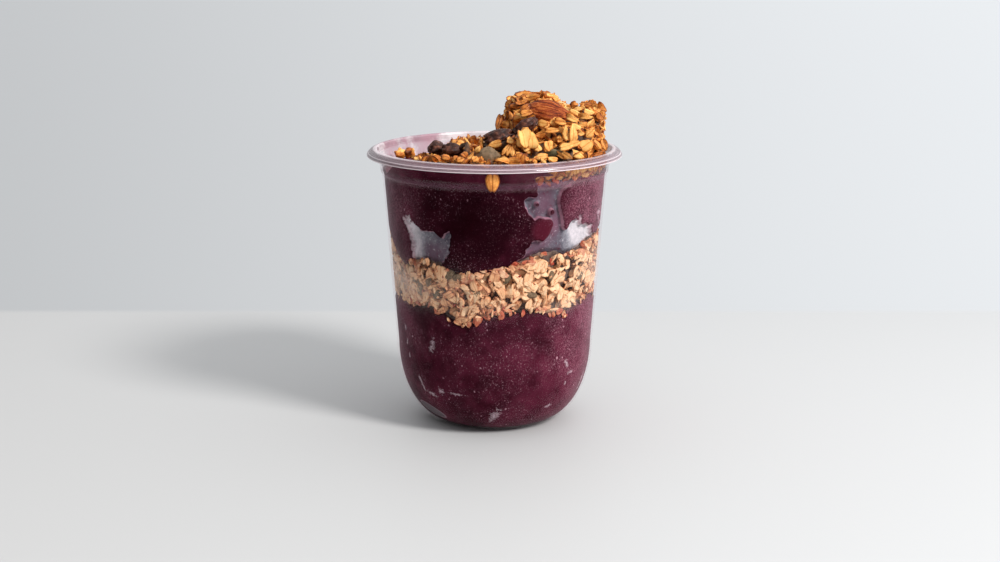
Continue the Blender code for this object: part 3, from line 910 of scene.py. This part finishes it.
def scattered(name, kinds, places, finish, slot, *nodes, press=True):
    """One mesh of many small things. A place is (kind, sizes, axes, middle, tone, stain)."""
    corners, faces, own, tones, stains = [], [], [], [], []
    count = 0
    for kind, sizes, axes, middle, tone, stain in places:
        shape, sides, local = kinds[kind % len(kinds)]
        placed = (shape * np.asarray(sizes)) @ axes.T + np.asarray(middle)
        corners.append(placed)
        own.append(local)
        tones.append(np.full(len(placed), tone))
        stains.append(np.full(len(placed), stain))
        faces.extend(tuple(index + count for index in side) for side in sides)
        count += len(placed)
    corners = np.concatenate(corners)
    if press:
        corners = kept_in_cup(corners)
    mesh = bpy.data.meshes.new(name)
    mesh.from_pydata(corners.tolist(), [], faces)
    store(mesh, "local", np.concatenate(own))
    store(mesh, "tone", np.concatenate(tones))
    store(mesh, "stain", np.concatenate(stains))
    return finished(name, mesh, finish, slot, *nodes)


def kept_in_cup(corners):
    """What would stick through the wall is pressed flat against it."""
    radius = np.hypot(corners[:, 0], corners[:, 1])
    limit = wall_inside(np.minimum(corners[:, 2], RIM_HEIGHT)) - 0.12 * MM
    limit = np.where(corners[:, 2] > RIM_HEIGHT + 1 * MM, 1.0, limit)
    shrink = np.minimum(1.0, limit / np.maximum(radius, 1e-6))
    corners = corners.copy()
    corners[:, :2] *= shrink[:, None]
    return corners


OAT_WIDTHS = (0.62, 0.5, 0.55, 0.7, 0.45, 0.58, 0.66, 0.52)
OATS = [
    flake(seed, OAT_WIDTHS[seed], 0.075 + 0.03 * (seed % 3), 0.5, (0.0, 0.6, -0.45, 0.15)[seed % 4])
    for seed in range(8)
]
CRUMBS = [chunk(seed, 7, 5, 0.75, 0.6) for seed in range(1, 6)]
NUTS = [chunk(seed, 12, 8, 0.3) for seed in range(6, 10)]


def oat_size(least=2.1, most=3.5):
    """Half sizes of an oat from a range of half lengths in millimetres."""
    half = dice.uniform(least, most) * MM
    return (half, half * dice.uniform(0.9, 1.1), half)


# ---------------------------------------------------------------------------------------------------
# Granola
# ---------------------------------------------------------------------------------------------------


# How many oats and crumbs are strewn, in all or on top.
MIDDLE_OATS = 880
MIDDLE_EDGE_OATS = 260
MIDDLE_CRUMBS = 420
HEAP_OATS = 900
HEAP_CLUMPS = 46
HEAP_CRUMBS = 300
HEAP_NUTS = 30

# Seeds in the middle layer: angle, height, half length in millimetres, lean in degrees. Then its oats
# stained by acai: angle, height, half length.
MIDDLE_SEEDS = (
    (219, 58.5, 2.6, 30), (224, 55.6, 2.8, -40), (231, 58.8, 2.4, 60), (236, 54.2, 2.0, 10),
    (245, 62.2, 2.4, 5), (250, 61.6, 2.2, -20), (260, 56.5, 2.4, 70), (277, 61.5, 2.0, 20),
    (291, 55.0, 2.2, -60), (303, 61.0, 2.0, 35), (326, 59.0, 2.2, -15), (12, 60.0, 2.5, 30),
    (58, 57.0, 2.4, -40), (95, 59.0, 2.6, 15), (140, 56.0, 2.4, 70), (172, 61.0, 2.5, -30),
)  # fmt: skip
STAINED_BITS = (
    (264, 64.6, 1.5), (268, 65.2, 1.1), (272, 65.8, 2.3), (275, 63.8, 1.3), (281, 67.0, 1.6),
    (286, 67.6, 1.4), (290, 67.2, 1.9), (297, 70.0, 1.3), (302, 66.5, 1.6), (256, 44.2, 1.5),
    (261, 45.4, 2.2), (266, 47.0, 1.4), (274, 48.0, 2.0), (279, 48.8, 1.3), (286, 48.4, 1.7),
    (305, 46.8, 1.5), (309, 47.4, 2.0), (313, 46.2, 1.2), (236, 48.0, 1.4), (215, 49.5, 1.3),
)  # fmt: skip


def middle_layer(angle):
    """Heights of the middle layer's foot and top at the wall, in millimetres."""
    return line_height(GRANOLA_FLOOR, angle), line_height(GRANOLA_CEILING, angle)


def at_wall(angle, height, depth):
    """The way out at an angle, and the place at a height and depth behind the wall in millimetres."""
    turn = math.radians(angle)
    radius = float(wall_inside(height * MM)) - depth * MM
    return (math.cos(turn), math.sin(turn)), (radius * math.cos(turn), radius * math.sin(turn), height * MM)


def make_middle_granola(oat, core, seed):
    mesh = drum("middle_core", 4, 20, 4, 180)
    share, angle, up = polar(mesh)
    low = level(GRANOLA_FLOOR, FLOOR_MEAN, angle, share) - 1 * MM
    high = level(GRANOLA_CEILING, CEILING_MEAN, angle, share) + 1 * MM
    height = low + (high - low) * up
    radius = wall_inside(height) - 3.4 * MM
    places = around(share * radius, angle, height)
    places += places * np.array([1, 1, 0]) * (noise_at(places, 4 * MM) * 0.03)[:, None]
    move_corners(mesh, places)
    finished("middle_core", mesh, core, "granola", "granola_middle")
    flakes = []
    for _ in range(MIDDLE_OATS):
        angle = dice.uniform(0, 360)
        low, high = middle_layer(angle)
        depth = dice.choice((0.5, 0.9, 1.5, 2.1, 2.8))
        half = dice.uniform(2.2, 3.7) if depth < 1.2 else dice.uniform(1.8, 3.2)
        height = dice.uniform(low + 0.5 * half, high - 0.5 * half)
        edge = min(height - low, high - height)
        stain = max(0.0, 1 - edge / 4.5) * dice.uniform(0.1, 1.2)
        sizes = np.array((half, half * dice.uniform(0.9, 1.1), half)) * MM
        # Painted light: oats are paler towards the key light at the right front (322 degrees) and towards
        # the left (192 degrees).
        right, left = (math.cos(math.radians(angle - palest)) for palest in (322, 192))
        painted_light_share = max(0.0, right, left**3)
        spread = dice.choice((0.15, 0.4, 0.6, 0.8))
        flakes.append(wall_flake(angle, height, depth, sizes, spread, stain, painted_light_share))
    for _ in range(MIDDLE_EDGE_OATS):
        angle = dice.uniform(0, 360)
        line, up = dice.choice(((GRANOLA_FLOOR, 1), (GRANOLA_CEILING, -1)))
        half = dice.uniform(0.9, 1.9)
        height = line_height(line, angle) + up * (half * 0.4 + dice.gauss(0, 0.5))
        sizes = np.array((half, half, half)) * MM
        stain = dice.choice((0.0, 0.0, 0.5, 1.0))
        flakes.append(wall_flake(angle, height, 0.6, sizes, dice.choice((0.15, 0.4, 0.7)), stain))
    for angle, height, half in STAINED_BITS:
        sizes = np.array((half, half * 0.9, half)) * MM
        flakes.append(wall_flake(angle, height, 0.35, sizes, 0.1, 1.4))
    scattered("middle_oats", OATS, flakes, oat, "granola")
    seeds = []
    for angle, height, half, lean in MIDDLE_SEEDS:
        way, middle = at_wall(angle, height, 1.0)
        axes = turned((*way, 0.1), math.radians(lean))
        sizes = np.array((half, half * 0.62, half * 0.4)) * MM
        seeds.append((0, sizes, axes, middle, dice.uniform(0.45, 1.0), 0.0))
    scattered("middle_seeds", [chunk(3, 16, 12, 0.12)], seeds, seed, "pumpkin_seed_skin")
    crumbs = []
    for _ in range(MIDDLE_CRUMBS):
        angle = dice.uniform(0, 360)
        low, high = middle_layer(angle)
        height = dice.uniform(low, high)
        half = dice.uniform(0.3, 0.9) * MM
        sizes = (half * 1.3, half * 0.8, half * 0.6)
        depth = dice.uniform(0.3, 1.0)
        crumbs.append(wall_flake(angle, height, depth, sizes, 0.8, dice.choice((0.0, 0.0, 0.8))))
    scattered("middle_crumbs", CRUMBS, crumbs, oat, "granola")


def wall_flake(angle, height, depth, sizes, spread, stain, painted_light_share=0.0):
    """Where a flake lies behind the wall: angle, height and depth from the wall in millimetres. It is
    darker where it lies deeper, as painted shade, and paler by its share of painted light."""
    way, middle = at_wall(angle, height, depth)
    outwards = (*way, dice.uniform(-0.3, 0.3))
    axes = turned(random_normal(spread, outwards), dice.uniform(0, 2 * math.pi))
    tone = dice.betavariate(1.2, 1.8) * (1.22 - 0.86 * painted_light_share)
    # Painted shade: oats that lie deeper are darker.
    tone += (0.3 - 0.2 * painted_light_share) * max(0.0, depth - 0.8)
    return (dice.randrange(len(OATS)), sizes, axes, middle, min(1.0, tone), stain)


def surface_samples(node, count):
    """Places spread evenly over a node's faces that don't look down, each with its normal."""
    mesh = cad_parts[node].data
    mesh.calc_loop_triangles()
    corners = corners_of(mesh)
    faces = np.array([list(face.vertices) for face in mesh.loop_triangles])
    a, b, c = (corners[faces[:, side]] for side in range(3))
    across = np.cross(b - a, c - a)
    area = np.linalg.norm(across, axis=1)
    normal = across / np.maximum(area, 1e-12)[:, None]
    weights = np.where(normal[:, 2] > -0.25, area, 0.0)
    picked = dice.choices(range(len(faces)), weights.tolist(), k=count)
    found = []
    for face in picked:
        u, v = sorted((dice.random(), dice.random()))
        found.append((a[face] * u + b[face] * (v - u) + c[face] * (1 - v), normal[face]))
    return found


def lie_of(node):
    """A small node's middle, its long, wide and thin directions as columns, and its half sizes."""
    corners = corners_of(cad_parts[node].data)
    middle = (corners.max(0) + corners.min(0)) / 2
    _, directions = np.linalg.eigh(np.cov((corners - corners.mean(0)).T))
    axes = directions[:, ::-1]
    if axes[0, 0] < 0:
        axes[:, 0] *= -1
    if np.linalg.det(axes) < 0:
        axes[:, 2] *= -1
    half = np.abs((corners - middle) @ axes).max(0)
    return middle, axes, half


TOPPINGS = ("almond", "raisin_1", "raisin_2", "raisin_3", "raisin_4", "pumpkin_seed_1", "pumpkin_seed_2")


def clear_of_toppings(place, margin):
    """True where a flake's middle wouldn't bury a topping."""
    for node in TOPPINGS:
        middle, axes, half = LIES[node]
        local = (np.asarray(place) - middle) @ axes
        if (np.abs(local / (half + margin)) ** 2).sum() < 1:
            return False
    return True


def ahead_of_topping(place):
    """True where something would stand between a topping and the front."""
    for node in TOPPINGS:
        middle, _, half = LIES[node]
        ahead = np.asarray(place) - middle
        if -9 * MM < ahead[1] < 0 and abs(ahead[0]) < half[0] * 0.97 and -2.5 * MM < ahead[2] < 5 * MM:
            return True
    return False


def drawn_in(place, axes, sizes, most):
    """The place moved inwards until the ends stand out of the CAD heap by no more than a distance."""
    place = np.array(place)
    for _ in range(3):
        worst, way = 0.0, None
        for side in (1, -1, 2, -2):
            reach = sizes[0] * (1.05 if abs(side) == 1 else 0.6)
            end = place + axes[:, abs(side) - 1] * reach * (1 if side > 0 else -1)
            near, normal, _, _ = HEAP.find_nearest(Vector(end))
            out = (Vector(end) - near).dot(normal)
            if out > worst:
                worst, way = out, normal
        if way is None or worst <= most:
            return place
        place = place - np.array(way) * (worst - most)
    return place


HEAP = BVHTree.FromPolygons(
    [corner.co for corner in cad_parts["granola_top"].data.vertices],
    [tuple(face.vertices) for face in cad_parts["granola_top"].data.polygons],
)
LIES = {node: lie_of(node) for node in TOPPINGS + ("stray_clump", "oat_on_wall")}


# Oats of the heap that have their own places, in millimetres: middle, length, width, then the slope of
# the long side seen from the front, in degrees, and how dark the oat is.
NOTED_OATS = (
    (10.0, -31.2, 110.6, 7.4, 4.0, -80, 0.0), (13.3, -30.2, 110.0, 6.2, 3.4, 88, 0.03),
    (10.8, -18.6, 119.6, 4.8, 2.4, 38, 0.75), (13.2, -21.6, 116.4, 4.2, 2.6, 10, 0.85),
    (23.5, -22.8, 115.6, 5.0, 2.2, -14, 0.5), (28.0, -20.0, 116.2, 5.4, 2.2, -28, 0.12),
    (11.6, -20.4, 117.9, 5.2, 2.6, 24, 0.62), (12.6, -20.6, 115.2, 5.6, 2.4, -22, 0.45),
    (17.0, -24.5, 115.3, 4.6, 2.2, -12, 0.3), (26.0, -36.2, 105.4, 5.6, 1.7, -30, 0.25),
    (16.4, -36.4, 105.0, 4.8, 2.2, 5, 0.12), (20.4, -37.2, 104.2, 4.2, 1.8, -8, 0.3),
    (19.0, -34.2, 108.6, 4.4, 3.0, -76, 0.35), (25.4, -34.0, 108.2, 5.6, 2.4, 20, 0.1),
    (11.0, -0.6, 122.5, 7.1, 2.7, 10, 0.55), (13.5, -3.9, 122.2, 6.8, 2.1, 10, 0.45),
    (10.0, -3.7, 121.6, 4.3, 2.4, 17, 0.70), (18.4, -0.4, 122.9, 2.0, 2.4, 27, 0.85),
    (8.2, -4.8, 119.1, 6.4, 1.8, 9, 0.90), (10.0, -5.0, 120.4, 5.2, 1.8, 10, 0.85),
    (9.7, -8.7, 115.7, 5.2, 1.8, -13, 0.05), (6.2, -6.3, 115.5, 3.4, 1.5, -77, 0.60),
    (8.9, -8.7, 114.9, 4.9, 2.1, 12, 0.60), (1.7, -1.2, 112.5, 7.2, 2.4, 72, 0.85),
    (4.0, -4.4, 112.0, 3.0, 3.0, -24, 0.50), (21.4, -22.4, 115.4, 3.0, 3.2, -61, 0.25),
    (18.2, -23.3, 114.5, 3.3, 2.3, 21, 0.20), (16.7, -25.6, 111.3, 5.1, 2.5, 0, 0.55),
    (25.3, -28.1, 112.1, 6.1, 2.0, -86, 0.10), (27.9, -28.4, 112.2, 6.5, 2.5, 82, 0.12),
    (19.2, -29.2, 107.5, 4.0, 3.2, 77, 0.35), (15.2, -29.2, 107.3, 3.9, 2.5, -77, 0.10),
    (28.3, -31.9, 109.0, 4.9, 2.0, 21, 0.10), (32.8, -27.1, 107.7, 5.4, 4.1, 41, 0.02),
    (29.1, -30.3, 105.1, 6.6, 2.5, -23, 0.08), (36.9, -20.9, 106.8, 4.3, 2.4, -56, 0.50),
    (40.0, -17.0, 106.7, 4.9, 2.1, -65, 0.60), (37.4, -19.1, 103.6, 7.8, 1.2, 9, 0.90),
    (39.3, -4.4, 117.9, 4.2, 3.6, -30, 0.60), (39.2, -9.0, 116.1, 3.4, 3.3, -52, 0.70),
    (34.6, -4.6, 119.4, 3.3, 1.8, -5, 0.95), (34.5, -9.8, 117.5, 3.8, 2.2, -18, 0.00),
    (30.6, -6.8, 118.3, 3.5, 1.4, -7, 0.00), (29.3, -2.5, 119.2, 3.4, 1.5, 5, 0.60),
    (30.0, -9.9, 117.1, 6.3, 1.8, -31, 0.12), (33.3, -12.7, 115.8, 5.8, 1.9, -12, 0.10),
    (34.8, -20.0, 114.5, 4.0, 1.8, 54, 0.20), (31.4, -24.3, 114.6, 3.2, 1.5, -22, 0.15),
    (33.8, -25.7, 111.6, 3.5, 2.6, 42, 0.15), (30.8, -27.3, 112.1, 2.9, 1.7, -24, 0.10),
    (3.9, -31.6, 106.6, 4.8, 1.4, 57, 0.35), (5.0, -32.0, 106.4, 4.1, 1.4, 78, 0.40),
    (6.3, -32.3, 106.1, 4.1, 1.7, -82, 0.30), (9.5, -32.6, 104.1, 5.3, 2.6, -41, 0.12),
    (3.2, -41.1, 104.1, 5.6, 1.6, -9, 0.45), (5.5, -29.0, 109.6, 2.9, 2.2, -6, 0.20),
    (0.6, -28.6, 108.5, 5.3, 2.3, 6, 0.35), (1.1, -28.3, 107.7, 1.9, 1.5, -27, 0.80),
    (17.0, -31.6, 104.1, 4.1, 1.7, -4, 0.10), (17.1, -37.6, 103.7, 1.6, 2.3, 45, 0.15),
    (23.9, -34.3, 104.7, 5.7, 1.4, -30, 0.35), (9.1, -20.8, 111.8, 3.4, 3.2, 31, 0.00),
    (12.6, -27.4, 110.5, 4.4, 2.3, -86, 0.02), (9.6, -30.4, 109.3, 4.4, 3.2, -32, 0.03),
    (11.2, -30.9, 107.4, 3.0, 2.3, -11, 0.10), (20.6, -26.4, 113.1, 5.9, 1.7, 6, 0.35),
    (29.3, -25.9, 114.1, 3.9, 1.8, -42, 0.10), (37.6, -18.0, 111.4, 3.5, 2.1, -59, 0.45),
    (-9.7, -17.7, 107.7, 4.7, 0.8, -55, 0.05), (-11.7, -17.9, 106.7, 4.2, 2.7, -25, 0.30),
    (-7.5, -12.0, 107.9, 3.7, 2.5, 5, 0.75), (-6.9, -12.7, 107.5, 3.6, 2.1, 0, 0.70),
    (-4.6, -23.7, 108.1, 3.5, 1.2, -85, 0.40), (-5.9, -29.2, 106.5, 3.3, 1.7, 45, 0.08),
    (-20.1, -32.2, 103.9, 3.3, 1.4, -38, 0.60), (-16.6, -37.0, 104.9, 4.0, 2.0, -4, 0.65),
    (-11.9, -39.5, 104.6, 3.3, 1.7, 20, 0.60), (-10.5, -30.2, 104.7, 2.5, 2.0, -45, 0.75),
    (-8.3, -31.0, 104.6, 3.3, 1.7, 52, 0.35), (-6.9, -40.8, 104.7, 2.7, 2.0, 32, 0.50),
    (-6.2, -40.9, 104.4, 2.2, 1.4, -23, 0.20), (-13.5, -17.2, 106.3, 4.0, 0.9, -48, 0.30),
)  # fmt: skip


def near_noted(place):
    """True where something would stand in front of, or beside, an oat that has its own place."""
    x, y, z = (value / MM for value in place)
    return any(abs(x - spot[0]) < 2.6 and abs(z - spot[2]) < 2.4 and y < spot[1] + 3 for spot in NOTED_OATS)


def noted_oats():
    """The oats that have their own places: each lies with its flat side roughly to the front."""
    found = []
    for x, y, z, length, width, lean, tone in NOTED_OATS:
        turn = math.radians(lean + dice.uniform(-4, 4))
        facing = Vector((dice.uniform(-0.55, 0.55), -1.0, dice.uniform(0.0, 0.8))).normalized()
        along = Vector((math.cos(turn), 0.0, math.sin(turn)))
        along = (along - facing * along.dot(facing)).normalized()
        axes = np.array([along, facing.cross(along), facing]).T
        kind = dice.randrange(len(OATS))
        half = length / 2 * MM * 1.08
        thick = max(half, 2 * MM) * (2.0 if 0.4 < tone < 0.8 else 1.0)
        sizes = (half, width / 2 * MM * 1.2 / OAT_WIDTHS[kind], thick)
        middle = np.array((x, y, z)) * MM + np.array(facing) * 0.2 * MM
        found.append((kind, sizes, axes, middle, tone, 0.0))
    return found


def heap_tone(place, depth):
    """How dark an oat of the heap is. Painted shade makes it darker towards the left, on the left of the top
    and where it lies deeper; painted light makes pale oats more common towards the right. Oats are also
    paler at the top.
    """
    light = min(1.0, max(0.0, (place[0] / MM + 20) / 36))
    tone = dice.uniform(0.0, 0.16) if dice.random() < 0.28 + 0.24 * light else dice.uniform(0.2, 0.75)
    high = smooth_step((place[2] / MM - 112) / 5)
    shaded = smooth_step((9 - place[0] / MM) / 5) * smooth_step((place[2] / MM - 108) / 3)
    return float(np.clip(tone - 0.16 * high + 0.2 * shaded + 0.1 * max(0.0, depth - 0.8), 0, 1))


def collar_oats():
    """The heap's oats that show through the collar at the right."""
    found = []
    for angle in np.arange(291, 347, 1.5):
        for height in (96.9, 98.9, 100.7):
            half = dice.uniform(1.6, 2.8) * MM
            spot = height + dice.uniform(-0.9, 0.9)
            sizes = (half, half * dice.uniform(0.9, 1.1), half)
            if height > 98 or dice.random() < 0.6:
                stain = dice.choice((0, 0, 0.5, 0.9))
                found.append(wall_flake(angle, spot, dice.uniform(0.5, 2.4), sizes, 0.45, stain, 0.5))
    return found


def make_heap(oat, core, nut):
    shape = bmesh.new()
    shape.from_mesh(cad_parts["granola_top"].data)
    bmesh.ops.remove_doubles(shape, verts=shape.verts[:], dist=1e-6)
    shape.normal_update()
    for corner in shape.verts:
        corner.co -= corner.normal * 2.6 * MM
    mesh = to_mesh(shape, "heap_core")
    move_corners(mesh, kept_in_cup(corners_of(mesh)))
    finished("heap_core", mesh, core, "granola", "granola_top")

    flakes, crumbs, nuts = collar_oats(), [], []
    for place, normal in surface_samples("granola_top", HEAP_OATS):
        crowded = not clear_of_toppings(place, 1.6 * MM)
        hidden = crowded or near_noted(place) or ahead_of_topping(place)
        # Oats pushed deeper are painted darker by heap_tone, as painted shade.
        depth = dice.uniform(0.2, 2.4) + 1.6 * hidden
        place = place - normal * depth * MM
        axes = turned(random_normal(dice.choice((0.3, 0.5, 0.7)), normal), dice.uniform(0, 2 * math.pi))
        sizes = oat_size(1.2, 2.0) if crowded else oat_size()
        place = drawn_in(place, axes, sizes, (0.2 if hidden else 1.0) * MM)
        flakes.append((dice.randrange(len(OATS)), sizes, axes, place, heap_tone(place, depth), 0.0))
    for place, normal in surface_samples("granola_top", HEAP_CLUMPS):
        if not clear_of_toppings(place, 3.5 * MM) or near_noted(place) or ahead_of_topping(place):
            continue
        flakes.extend(cluster(place - normal * 2.2 * MM, normal, dice.randint(5, 8)))
    for place, normal in surface_samples("granola_top", HEAP_CRUMBS):
        if not clear_of_toppings(place, 1.0 * MM) or near_noted(place):
            continue
        half = dice.uniform(0.4, 1.1) * MM
        axes = turned(random_normal(0.9, normal), 0.0)
        sizes = (half, half * 0.8, half * 0.7)
        place = place - normal * 0.7 * MM
        crumbs.append((dice.randrange(len(CRUMBS)), sizes, axes, place, dice.random(), 0.0))
    for place, normal in surface_samples("granola_top", HEAP_NUTS):
        if not clear_of_toppings(place, 2.5 * MM) or near_noted(place):
            continue
        half = dice.uniform(1.6, 2.3) * MM
        axes = turned(random_normal(0.5, normal), dice.uniform(0, 6))
        sizes = (half, half * 0.8, half * 0.75)
        place = place - normal * 1.0 * MM
        nuts.append((dice.randrange(len(NUTS)), sizes, axes, place, dice.uniform(0, 0.6), 0.0))
    scattered("heap_oats", OATS, flakes + noted_oats(), oat, "granola")
    scattered("heap_crumbs", CRUMBS, crumbs, oat, "granola")
    scattered("heap_nuts", NUTS, nuts, nut, "granola")


def cluster(middle, normal, count):
    """Oats baked together in a clump, lying much the same way."""
    lie = random_normal(0.5, normal)
    spin = dice.uniform(0, 2 * math.pi)
    tone = dice.uniform(0.3, 0.75)
    found = []
    for step in range(count):
        axes = turned(random_normal(0.18, lie), spin + dice.gauss(0, 0.5))
        offset = axes @ np.array([dice.gauss(0, 1.3), dice.gauss(0, 1.3), (step - count / 2) * 0.7]) * MM
        own_tone = min(1.0, max(0.0, tone + dice.gauss(0, 0.12)))
        sizes = oat_size(2.2, 3.6)
        place = drawn_in(middle + offset, axes, sizes, 1.2 * MM)
        found.append((dice.randrange(len(OATS)), sizes, axes, place, own_tone, 0.0))
    return found


def almond_shape(corners):
    """A ball drawn out to a point at one end, with long ridges."""
    x, y, z = corners.T
    taper = 1 - 0.42 * smooth_step((x + 0.1) / 1.1)
    ridge = 1 + 0.045 * np.cos(15 * np.arctan2(z, y) + 2.5 * noise_at(corners, 0.6)) * (1 - x**4)
    shape = np.stack([x, y * taper * ridge, z * taper * ridge], 1)
    return shape * (1 + 0.02 * noise_at(corners, 0.5))[:, None]


def raisin_shape(corners, own):
    """A ball folded in along its length, with finer wrinkles."""
    x, y, z = corners.T
    folds = 0.1 * np.cos(5 * np.arctan2(z, y) + 2.2 * x + 3 * noise_at(corners, 1.1, own))
    wrinkles = 0.27 * np.abs(noise_at(corners * np.array([0.5, 1, 1]), 0.45, own))
    creases = 0.12 * np.abs(noise_at(corners * np.array([0.4, 1, 1]), 0.24, own))
    return corners * (1.05 + folds - wrinkles - creases)[:, None]


def seed_shape(corners):
    """A ball narrowed at one end, with a thin rim."""
    x, y, z = corners.T
    taper = 1 - 0.5 * smooth_step((x + 0.2) / 1.2)
    edge = 0.35 * smooth_step((np.hypot(x, y) - 0.72) / 0.2)
    return np.stack([x, y * taper, z * (1 - 0.25 * edge) * (1 + 0.1 * noise_at(corners, 0.5))], 1)


# Lumps of the clump that lies apart: how far right of its middle and how far up, half sizes in
# millimetres, and how dark it is.
STRAY_LUMPS = (
    (-1.9, 0.2, 2.3, 1.9, 1.8, 0.16),
    (1.1, 0.5, 1.7, 1.5, 1.9, 0.85),
    (2.6, 0.3, 0.9, 1.4, 1.8, 0.12),
)


def make_toppings(almond, raisin, seed, oat):
    corners, faces = ball(48, 40)
    for node in TOPPINGS:
        middle, axes, half = LIES[node]
        if node == "almond":
            shape, finish, slot, tone = almond_shape(corners), almond, "almond_skin", 0.5
        elif node.startswith("raisin"):
            own = float(ord(node[-1]))
            shape, finish, slot, tone = raisin_shape(corners, own), raisin, "raisin_skin", 0.5
        else:
            tone = 0.85 if node.endswith("1") else 0.1
            shape, finish, slot = seed_shape(corners), seed, "pumpkin_seed_skin"
        place = (0, half, axes, middle, tone, 0.0)
        scattered(node + "_fine", [(shape, faces, corners)], [place], finish, slot, node, press=False)
    middle, axes, half = LIES["oat_on_wall"]
    sizes = (half[0] * 0.9, half[1] / 0.72, half[1])
    place = (0, sizes, axes, middle - np.array((0, 0, 0.5 * MM)), 0.58, 0.0)
    shape = flake(3, 0.66, 0.2, 0.12, ragged=0.2)
    scattered("wall_oat", [shape], [place], oat, "granola", "oat_on_wall", press=False)
    middle = LIES["stray_clump"][0]
    bits = []
    for across, up, long, deep, tall, tone in STRAY_LUMPS:
        place = middle + np.array((across, 0.3 * across, up)) * MM
        lie = turned((0.2, dice.uniform(-0.3, 0.3), 1.0), dice.uniform(-0.3, 0.3))
        bits.append((len(bits), np.array((long, deep, tall)) * MM, lie, place, tone, 0.1))
    lumpy = [chunk(shape_seed, 20, 14, 0.5, 0.7) for shape_seed in (21, 22, 23)]
    scattered("stray_oats", lumpy, bits, oat, "granola", "stray_clump")


# ---------------------------------------------------------------------------------------------------
# Stage
# ---------------------------------------------------------------------------------------------------

TABLE_END = 159.0  # where the table's tone gives way to the wall's, behind the cup, in millimetres
CAMERA_DISTANCE = 0.6
CAMERA_TILT = math.radians(13.0)
CAMERA_TARGET = Vector((2.05 * MM, 0.0, 52.0 * MM))
KEY_AIM = Vector((0.0, 0.0, 50.0 * MM))
KEY_DIRECTION = Vector((0.62, -0.5, 0.6)).normalized()
KEY_DISTANCE = 1.35
SKY_DIRECTION = Vector((0.35, 0.35, 0.87)).normalized()  # where the soft light is strongest


def make_stage():
    finish = Finish("pale_floor")
    behind = finish.y.between(TABLE_END - 4, TABLE_END + 6)
    # Painted light from the right: the table and the glow of the backdrop beyond TABLE_END grow paler
    # towards the right.
    right = (finish.x / (finish.y.most(-300.0) + 700.0)).between(-0.5, 0.45)
    glow = finish.mix(right, (0.385, 0.395, 0.405), (0.7, 0.725, 0.75))
    table = finish.mix(right, (0.52, 0.515, 0.51), (0.55, 0.555, 0.56))
    colour = finish.mix(behind, table, (0.04, 0.04, 0.04))
    glow = finish.mix(behind, (0.0, 0.0, 0.0), glow)
    surface = finish.surface(base_color=colour, roughness=0.6, emission_color=glow, emission_strength=1.0)
    shape = bmesh.new()
    bmesh.ops.create_grid(shape, x_segments=1, y_segments=1, size=8.0)
    mesh = to_mesh(shape, "floor")
    mesh.materials.append(finish.shown(surface))
    floor = bpy.data.objects.new("floor", mesh)
    bpy.context.scene.collection.objects.link(floor)


def aimed(thing, place, target):
    thing.location = place
    thing.rotation_euler = (Vector(target) - Vector(place)).to_track_quat("-Z", "Y").to_euler()
    bpy.context.scene.collection.objects.link(thing)


def make_lights():
    key = bpy.data.lights.new("key", "AREA")
    key.shape = "DISK"
    key.size = 0.34
    key.energy = 19.0
    key.color = (1.0, 0.985, 0.965)
    aimed(bpy.data.objects.new("key", key), KEY_AIM + KEY_DIRECTION * KEY_DISTANCE, KEY_AIM)
    world = bpy.data.worlds.new("studio")
    bpy.context.scene.world = world
    world.use_nodes = True
    tree = world.node_tree
    place = tree.nodes.new("ShaderNodeTexCoord")
    lean = tree.nodes.new("ShaderNodeVectorMath")
    lean.operation = "DOT_PRODUCT"
    lean.inputs[1].default_value = SKY_DIRECTION
    spread = tree.nodes.new("ShaderNodeMapRange")
    spread.inputs["From Min"].default_value = -0.4
    spread.inputs["From Max"].default_value = 1.0
    spread.inputs["To Min"].default_value = 0.12
    spread.inputs["To Max"].default_value = 1.15
    tree.links.new(place.outputs["Generated"], lean.inputs[0])
    tree.links.new(lean.outputs["Value"], spread.inputs["Value"])
    tree.links.new(spread.outputs[0], tree.nodes["Background"].inputs["Strength"])
    tree.nodes["Background"].inputs["Color"].default_value = (0.96, 0.98, 1.0, 1.0)


def make_camera():
    lens = bpy.data.cameras.new("camera")
    lens.lens = 56.85
    lens.sensor_width = 36.0
    camera = bpy.data.objects.new("camera", lens)
    away = Vector((0.0, -math.cos(CAMERA_TILT), math.sin(CAMERA_TILT))) * CAMERA_DISTANCE
    aimed(camera, CAMERA_TARGET + away, CAMERA_TARGET)
    bpy.context.scene.camera = camera


def main():
    bpy.context.scene.view_settings.view_transform = "Standard"
    make_camera()
    make_stage()
    make_lights()
    acai = frozen_acai()
    oat, nut = oats("toasted_oat", DRY_OAT), pale_nut()
    dark, brown, tan = (0.02, 0.008, 0.004), (0.07, 0.028, 0.01), (0.2, 0.085, 0.03)
    core = granola_core("granola_core", (0.3, dark), (0.5, brown), (0.7, tan))
    steeped = oats("steeped_oat", STEEPED_OAT)
    dark, grey, dun = (0.06, 0.035, 0.03), (0.155, 0.105, 0.085), (0.33, 0.2, 0.14)
    steeped_core = granola_core("steeped_core", (0.3, dark), (0.5, grey), (0.7, dun))
    seed = seed_skin()
    make_cup()
    make_lower_acai(acai)
    make_upper_acai(acai)
    make_middle_granola(steeped, steeped_core, seed)
    make_heap(oat, core, nut)
    make_toppings(almond_skin(), raisin_skin(), seed, oat)


main()
